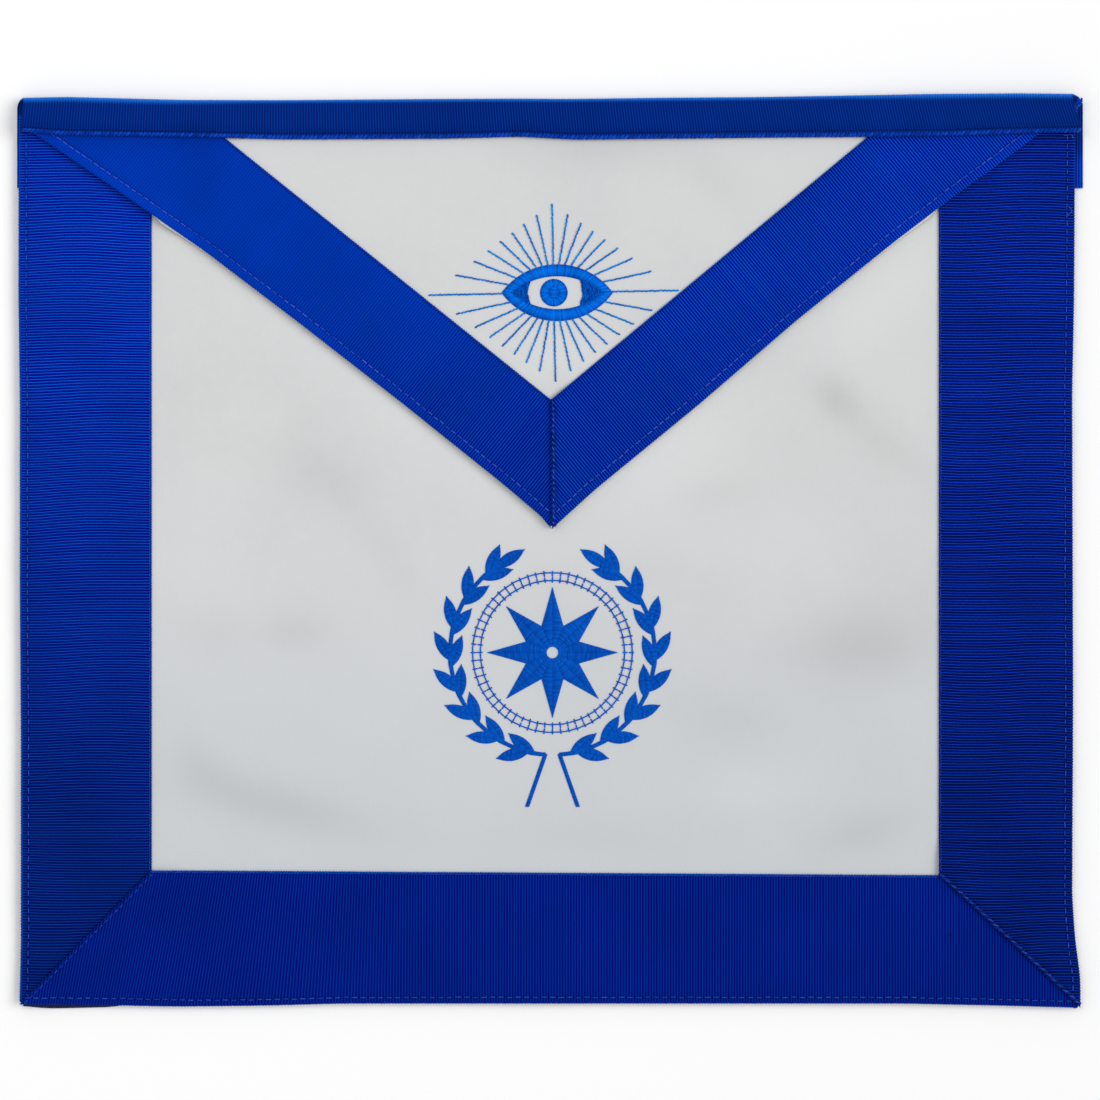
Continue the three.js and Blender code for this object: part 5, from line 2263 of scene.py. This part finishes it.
def towards(angle: float) -> Array:
    """Returns the direction in plan at an angle in radians."""
    return np.array([math.cos(angle), math.sin(angle)])


def arc(centre: Array, radius: float, start: float, end: float, count: int = 32) -> Array:
    """Draws an arc in plan.

    Args:
        centre: its centre.
        radius: its radius.
        start: its first angle, in radians.
        end: its last angle, in radians.
        count: how many points it has.

    Returns:
        The points.
    """
    angle = np.linspace(start, end, count)
    return centre + radius * np.stack([np.cos(angle), np.sin(angle)], -1)


def lens_side(length: float, height: float, count: int = 41) -> Array:
    """Draws the upper side of a pointed oval about the origin.

    Args:
        length: from point to point.
        height: across its middle.
        count: how many points it has.

    Returns:
        The points, from left to right.
    """
    radius = (length * length + height * height) / (4.0 * height)
    half = math.asin(length / 2.0 / radius)
    angle = np.linspace(-half, half, count)
    return radius * np.stack([np.sin(angle), np.cos(angle) - math.cos(half)], -1)


@dataclass
class Eye:
    """The eye on the flap: satin lids, filled corners, a filled iris and rays of running stitch."""

    lay: Lay
    embroidery: Embroidery
    across: float = 0.507
    below: float = 0.2172
    length: float = 0.0428
    height: float = 0.0218
    inner_length: float = 0.035
    inner_height: float = 0.0128
    lids_aside: float = 0.0013
    opening: float = 0.0212
    opening_aside: float = 0.0005
    opening_bow: float = 0.001
    iris_radius: float = 0.0053
    pupil_radius: float = 0.0019
    rays: int = 32
    rays_turn: float = 1.1
    ray_reach_across: float = 0.0474
    ray_reach_up: float = 0.0336
    ray_gap: float = 0.0001
    ray_stitch: Stitch = Stitch(
        pitch=0.0016, length=0.00148, radius=0.00036, rise=0.00018, dip=0.00008, slant=0.12
    )
    ray_thread: Material | None = None

    def build(self) -> list[Object]:
        """Builds the eye.

        Returns:
            The rim, the iris and the rays.
        """
        sewn = self.embroidery
        centre = self.lay.place(self.across, self.below)
        lids = centre + np.array([self.lids_aside, 0.0])
        outer = lens_side(self.length, self.height)
        inner = lens_side(self.inner_length, self.inner_height)
        flip = np.array([1.0, -1.0])
        lid_rails = [(lids + outer, lids + inner), (lids + outer * flip, lids + inner * flip)]
        rim = sewn.satin("eye_lids", lid_rails, 0.0009, 41)
        corners = []
        for side in (-1.0, 1.0):
            edge = self.opening / 2.0 + side * (self.opening_aside - self.lids_aside) - self.opening_bow
            reach = np.linspace(edge, inner[-1, 0] * 0.99, 16)
            top = np.interp(reach, inner[:, 0], inner[:, 1])
            upper = lids + np.stack([side * reach, top], -1)
            corners.append((upper, lids + np.stack([side * reach, -top], -1)))
        rim += sewn.fill("eye_corners", corners, 43, self.opening_bow)
        made = [Piece("eye_lids", Slot.AZURE, ("eye_rim",)).hang(joined("eye_lids", rim))]
        outer = arc(centre, self.iris_radius, 0.0, FULL_TURN, 73)
        inner = arc(centre, self.pupil_radius, 0.0, FULL_TURN, 73)
        iris = sewn.satin("eye_iris_ring", [(inner, outer)], 0.00022, 45)
        left = arc(centre, self.pupil_radius * 1.1, math.pi / 2.0, 1.5 * math.pi)
        right = arc(centre, self.pupil_radius * 1.1, math.pi / 2.0, -0.5 * math.pi)
        iris += sewn.satin("eye_pupil", [(left, right)], 0.0005, 47)
        made.append(Piece("eye_disc", Slot.AZURE, ("eye_iris",)).hang(joined("eye_disc", iris)))
        rays = []
        for turn in np.arange(self.rays) * FULL_TURN / self.rays + math.pi / 2.0:
            way = towards(turn)
            far = 1.0 / (abs(way[0]) / self.ray_reach_across + abs(way[1]) / self.ray_reach_up)
            aside = self.lids_aside * way[0]
            near = self._rim_reach(way) + self.ray_gap + aside
            turned = turn + math.radians(self.rays_turn)
            way = towards(turned)
            share = np.linspace(near, far, 24)[:, None]
            rays.append(centre + way * share)
        mesh = sewn.running("eye_rays", rays, self.ray_stitch, 49, 0.0001, self.ray_thread)
        mesh.shade_smooth()
        made.append(Piece("eye_rays", Slot.AZURE).hang(mesh))
        return made

    def _rim_reach(self, way: Array) -> float:
        """Returns how far the almond reaches in a direction."""
        outer = lens_side(self.length, self.height, 401)
        angle = np.arctan2(outer[:, 1], outer[:, 0])[::-1]
        reach = np.hypot(outer[:, 0], outer[:, 1])[::-1]
        return float(np.interp(math.atan2(abs(way[1]), way[0]), angle, reach))


@dataclass
class Emblem:
    """The ornament on the panel: a faceted star in a ring of stitches, inside two leafy sprigs."""

    lay: Lay
    embroidery: Embroidery
    across: float = 0.5057
    below: float = 0.613
    star_radius: float = 0.025
    star_waist: float = 0.011
    star_hole: float = 0.0023
    hole_rim: float = 0.0013
    star_points: int = 8
    wreath_radius: float = 0.0395
    sprig_lowest: float = -86.0
    sprig_highest: float = 58.0
    tail_length: float = 0.02
    tail_spread: float = 0.007
    stem_width: float = 0.0015
    leaf_pairs: int = 8
    leaf_splay: float = 28.0
    leaf_length: float = 0.013
    leaf_width: float = 0.0046
    ring_radii: tuple[float, ...] = (0.0278, 0.0308)
    rungs: int = 60
    line_stitch: Stitch = Stitch(
        pitch=0.0021, length=0.0021, radius=0.00028, rise=0.00016, dip=0.00008, wander=0.00005
    )

    def build(self) -> list[Object]:
        """Builds the ornament.

        Returns:
            The star, the ring and the sprigs.
        """
        star, ring = self._star(), self._ring()
        left = self._sprig("sprig_west", "sprig_left", -1)
        return [star, ring, left, self._sprig("sprig_east", "sprig_right", 1)]

    @property
    def centre(self) -> Array:
        """The ornament's middle."""
        return self.lay.place(self.across, self.below)

    def _star(self) -> Object:
        """Builds the star, each point of two facets.

        Returns:
            The star.
        """
        centre, rails = self.centre, []
        half = math.pi / self.star_points
        for corner in range(self.star_points):
            turn = math.pi / 2.0 + 2.0 * half * corner
            tip = centre + self.star_radius * towards(turn)
            root = centre + (self.star_hole + self.hole_rim) * towards(turn)
            for side in (-1.0, 1.0):
                lean = turn + side * half
                way = towards(lean)
                waist = centre + self.star_waist * way
                near = centre + (self.star_hole + self.hole_rim) * way
                spine = np.array([root, tip])
                flank = np.array([near, waist, tip])
                rails.append((spine, flank))
        meshes = self.embroidery.satin("star", rails, 0.0006, 61)
        inner = arc(centre, self.star_hole, 0.0, FULL_TURN, 49)
        outer = arc(centre, self.star_hole + self.hole_rim, 0.0, FULL_TURN, 49)
        meshes += self.embroidery.satin("star_hole", [(inner, outer)], 0.0006, 63)
        return Piece("star", Slot.ROYAL, ("emblem_star",)).hang(joined("star", meshes))

    def _ring(self) -> Object:
        """Builds the double ring of running stitch with its rungs.

        Returns:
            The ring.
        """
        centre = self.centre
        paths = [arc(centre, radius, 0.0, FULL_TURN, 181) for radius in self.ring_radii]
        for turn in np.arange(self.rungs) * FULL_TURN / self.rungs:
            way = towards(turn)
            share = np.linspace(self.ring_radii[0] + 0.0003, self.ring_radii[1] - 0.0003, 3)[:, None]
            paths.append(centre + way * share)
        mesh = self.embroidery.running("ring_of_stitches", paths, self.line_stitch, 65, 0.0001)
        mesh.shade_smooth()
        return Piece("ring_of_stitches", Slot.ROYAL).hang(mesh)

    def _sprig(self, name: str, node: str, side: int) -> Object:
        """Builds one sprig.

        Args:
            name: the piece's name.
            node: the CAD node that it replaces.
            side: -1 for the left one, 1 for the right one.

        Returns:
            The sprig.
        """
        centre = self.centre
        lowest, highest = math.radians(self.sprig_lowest), math.radians(self.sprig_highest)
        mirror = np.array([side, 1.0])
        turns = (lowest, highest)
        inner = centre + arc(np.zeros(2), self.wreath_radius - self.stem_width / 2.0, *turns, 60) * mirror
        outer = centre + arc(np.zeros(2), self.wreath_radius + self.stem_width / 2.0, *turns, 60) * mirror
        foot = centre + self.wreath_radius * towards(lowest) * mirror
        end = foot + np.array([side * self.tail_spread, -self.tail_length])
        aside = np.array([self.stem_width / 2.0, 0.0])
        tail = tuple(np.array([foot + shift, end + shift]) for shift in (-aside, aside))
        rails = [(inner, outer), tail]
        splay = math.radians(self.leaf_splay)
        for pair in range(self.leaf_pairs):
            angle = lowest + (highest - lowest) * (pair + 0.6) / self.leaf_pairs
            rails += self._leaf(angle - splay / self.leaf_pairs, splay, side)
            rails += self._leaf(angle, -splay, side)
        rails += self._leaf(highest, 0.0, side)
        meshes = self.embroidery.satin(name, rails, 0.00055, 67 + side)
        return Piece(name, Slot.ROYAL, (node,)).hang(joined(name, meshes))

    def _leaf(self, angle: float, splay: float, side: int) -> Rails:
        """Draws a leaf as two halves either side of its vein.

        Args:
            angle: where it grows on the stem.
            splay: how far it leans off the stem.
            side: which sprig it is on.

        Returns:
            A pair of rails for each half.
        """
        heading = (angle + math.pi / 2.0 if side > 0 else math.pi / 2.0 - angle) + side * splay
        way = towards(heading)
        square = np.array([-way[1], way[0]])
        root = self.centre + self.wreath_radius * np.array([side * math.cos(angle), math.sin(angle)])
        middle = root + way * (self.leaf_length / 2.0 - self.stem_width)
        upper = lens_side(self.leaf_length, self.leaf_width)
        rails = []
        for flip in (1.0, -1.0):
            edge = middle + upper[:, :1] * way + upper[:, 1:] * flip * square
            vein = middle + (upper[:, :1] * 0.98 + 0.0006) * way
            rails.append((vein, edge))
        return rails


@dataclass
class Studio:
    """The floor, the lights and the camera."""

    floor_size: float = 6.0
    key_strength: float = 1.38
    key_angle: float = 38.0
    key_from: tuple[float, float, float] = (1.4, 0.15, 1.3)
    fill_energy: float = 1.8
    fill_size: float = 0.5
    fill_place: tuple[float, float, float] = (-0.25, 0.35, 1.1)
    sky: float = 0.6

    def build(self, floor: Material) -> None:
        """Sets up the studio.

        Args:
            floor: the floor's material.
        """
        half = self.floor_size / 2.0
        mesh = bpy.data.meshes.new("floor")
        corners = [(-half, -half, 0), (half, -half, 0), (half, half, 0), (-half, half, 0)]
        mesh.from_pydata(corners, [], [(0, 1, 2, 3)])
        mesh.materials.append(floor)
        ground = link("floor", mesh)
        world = bpy.data.worlds.new("studio")
        world.use_nodes = True
        background = world.node_tree.nodes["Background"]
        background.inputs["Color"].default_value = (1.0, 1.0, 1.0, 1.0)
        background.inputs["Strength"].default_value = self.sky
        bpy.context.scene.world = world
        sun = bpy.data.lights.new("key", "SUN")
        sun.angle = math.radians(self.key_angle)
        sun.energy = self.key_strength
        self._aim(link("key", sun), self.key_from)
        fill = bpy.data.lights.new("fill", "AREA")
        fill.size = self.fill_size
        fill.energy = self.fill_energy
        self._aim(link("fill", fill), self.fill_place)
        bpy.context.scene.view_settings.view_transform = "Standard"
        self._camera()

    def _aim(self, light: Object, place: tuple[float, float, float]) -> None:
        """Puts a light in its place and turns it to the middle.

        Args:
            light: the light.
            place: where it is.
        """
        light.location = place
        light.rotation_euler = Vector(place).to_track_quat("Z", "Y").to_euler()

    def _camera(self) -> None:
        """Looks straight down at the apron, as the photo does."""
        lens = bpy.data.cameras.new("camera")
        lens.sensor_width = SENSOR_WIDTH
        lens.lens = SENSOR_WIDTH * CAMERA_HEIGHT / PHOTO_WIDTH
        made = link("camera", lens)
        made.location = (0.0, PHOTO_MIDDLE_Y, CAMERA_HEIGHT)
        bpy.context.scene.camera = made


def declare(
    borders: list[Object], flap: list[Object], lay: Lay
) -> None:
    """Works out each sheet's area, and does nothing with it.

    Args:
        borders: the left, the right and the bottom ribbon.
        flap: the flap's ribbons.
        lay: how the sheets lie.
    """
    left, right, bottom = borders
    side_height = lay.under_band_y - lay.bottom_y
    for ribbon, width in ((left, lay.border), (right, lay.border_right)):
        area = width * (side_height - lay.border / 2.0)
    area = lay.border * (lay.panel_width - lay.border)
    depth = lay.flap_drop - FlapRibbons.top_below
    area = lay.panel_width * depth * 0.5
    length = float(np.linalg.norm(lay.tip - lay.place(FLAP_LEFT.start_across, FLAP_LEFT.start_below)))
    for ribbon, side in zip(flap, (FLAP_LEFT, FLAP_RIGHT)):
        area = length * side.ribbon * FLAP_RIBBON_SHARE


def main() -> None:
    """Builds the apron, piece by piece, and the studio."""
    logging.basicConfig(level=logging.INFO, format="%(message)s")
    lay = Lay.from_frame()
    leathers = Leathers(
        lay,
        LeatherFinish("white_leather", roughness=0.5, specular=0.3).build(),
        LiningFinish("navy_lining", roughness=0.85, sheen=0.2).build(),
        LeatherFinish(
            "cut_leather", roughness=0.8, light=(0.62, 0.5, 0.36, 1.0), shade=(0.45, 0.34, 0.23, 1.0)
        ).build(),
    )
    ribbon = partial(
        RibbonFinish,
        roughness=0.6,
        specular=0.25,
        gloss_tint=(0.02, 0.2, 1.0, 1.0),
        sheen=0.25,
        sheen_tint=(0.01, 0.25, 1.0, 1.0),
    )
    weaver = Weaver(lay)
    # Painted light: the borders, the flap ribbons and the band are one blue ribbon; their crest and groove
    # colours, ramps and highlights differ to paint how the light falls on each.
    borders = Borders(
        lay,
        weaver,
        ribbon(
            "ribbon_left", crest=(0.003, 0.12, 0.8, 1), groove=(0, 0, 0.22, 1), low_shade=0.38, low_y=-0.16,
            high_y=0.13, crest_start=0.05, crest_end=0.6, crease_at=0.055, gleam_at=0.0,
            gleam=(0.0, 0.07, 0.5, 1),
        ).build(),
        ribbon(
            "ribbon_right", crest=(0.006, 0.086, 1, 1), groove=(0, 0, 0.08, 1), low_shade=0.56, low_y=-0.17,
            high_y=0.11, crest_start=0.0, crest_end=0.46, crease_at=0.946, crease_shade=0.3,
        ).build(),
        ribbon(
            "ribbon_bottom", crest=(0, 0.023, 0.27, 1), groove=(0, 0, 0.15, 1), crease_at=0.045,
            gleam_at=1.0, gleam_width=0.012, gleam=(0, 0.09, 0.5, 1),
        ).build(),
    )
    flap_ribbons = FlapRibbons(
        lay,
        weaver,
        ribbon(
            "ribbon_flap_left", crest=(0, 0.1, 0.6, 1), groove=(0, 0.001, 0.27, 1), crease_at=0.905,
            hem_glow=0.1, low_shade=0.74, low_y=0.01, high_y=0.13, crest_start=0.05, crest_end=0.7, calm=0.8,
        ).build(),
        ribbon(
            "ribbon_flap_right", crest=(0, 0.11, 0.62, 1), groove=(0, 0, 0.265, 1), crease_at=0.095,
            hem_glow=0.05, low_shade=0.76, low_y=0.01, high_y=0.13, crest_start=0.05, crest_end=0.7,
        ).build(),
    )
    sheets = [leathers.build_lining(), leathers.build_panel(), leathers.build_flap()]
    edging = borders.build()
    flap = flap_ribbons.build()
    band = ribbon(
        "ribbon_band", crest=(0.001, 0.037, 0.29, 1), groove=(0.0003, 0.007, 0.14, 1),
        crease_at=0.042, crease_width=0.014, crease_shade=0.6, hem_glow=0.25,
        gleam_at=0.305, gleam_width=0.038, gleam=(0, 0.18, 0.85, 1),
        # low_shade above 1 paints light onto the band's back-leg ends, below its front leg.
        calm=0.35, low_shade=2.2, low_y=0.148, high_y=0.158,
    )
    waistband = Waistband(lay, weaver, flap_ribbons, band.build())
    band = waistband.build()
    thread = partial(
        ThreadFinish,
        roughness=0.42,
        specular=0.35,
        gloss_tint=(0.02, 0.3, 1.0, 1.0),
        sheen=0.1,
        sheen_tint=(0.05, 0.4, 1.0, 1.0),
    )
    violet = thread("border_thread", light=(0.03, 0.075, 0.55, 1), dark=(0.005, 0.028, 0.32, 1))
    lilac = thread("flap_thread", light=(0.075, 0.13, 0.78, 1), dark=(0.015, 0.04, 0.44, 1))
    seam_cord = thread("seam_cord", light=(0.004, 0.016, 0.25, 1), dark=(0.0, 0.002, 0.06, 1))
    band_cord = thread("band_cord", light=(0.004, 0.06, 0.52, 1), dark=(0.0, 0.015, 0.24, 1))
    cords = [one.build() for one in (violet, lilac, seam_cord, band_cord)]
    Sewing(lay, borders, flap_ribbons, waistband, *cords).build()
    azure = thread("azure_thread", light=(0.001, 0.21, 0.92, 1), dark=(0.0, 0.055, 0.38, 1), arch_shade=0.55)
    sky_blue = thread("ray_thread", light=(0.0, 0.27, 0.8, 1), dark=(0.0, 0.09, 0.42, 1))
    royal = thread("royal_thread", light=(0.002, 0.13, 0.66, 1), dark=(0.001, 0.05, 0.36, 1))
    azure, sky_blue, royal = (one.build() for one in (azure, sky_blue, royal))
    satin = SatinTree()
    stitches = StitchTree()
    Eye(lay, Embroidery(satin, stitches, azure, lay.flap_top), ray_thread=sky_blue).build()
    Emblem(lay, Embroidery(satin, stitches, royal, lay.panel_top)).build()
    declare(edging, flap, lay)
    Studio().build(FloorFinish("pale_floor", roughness=0.9, specular=0.1).build())


if __name__ == "__main__":
    main()
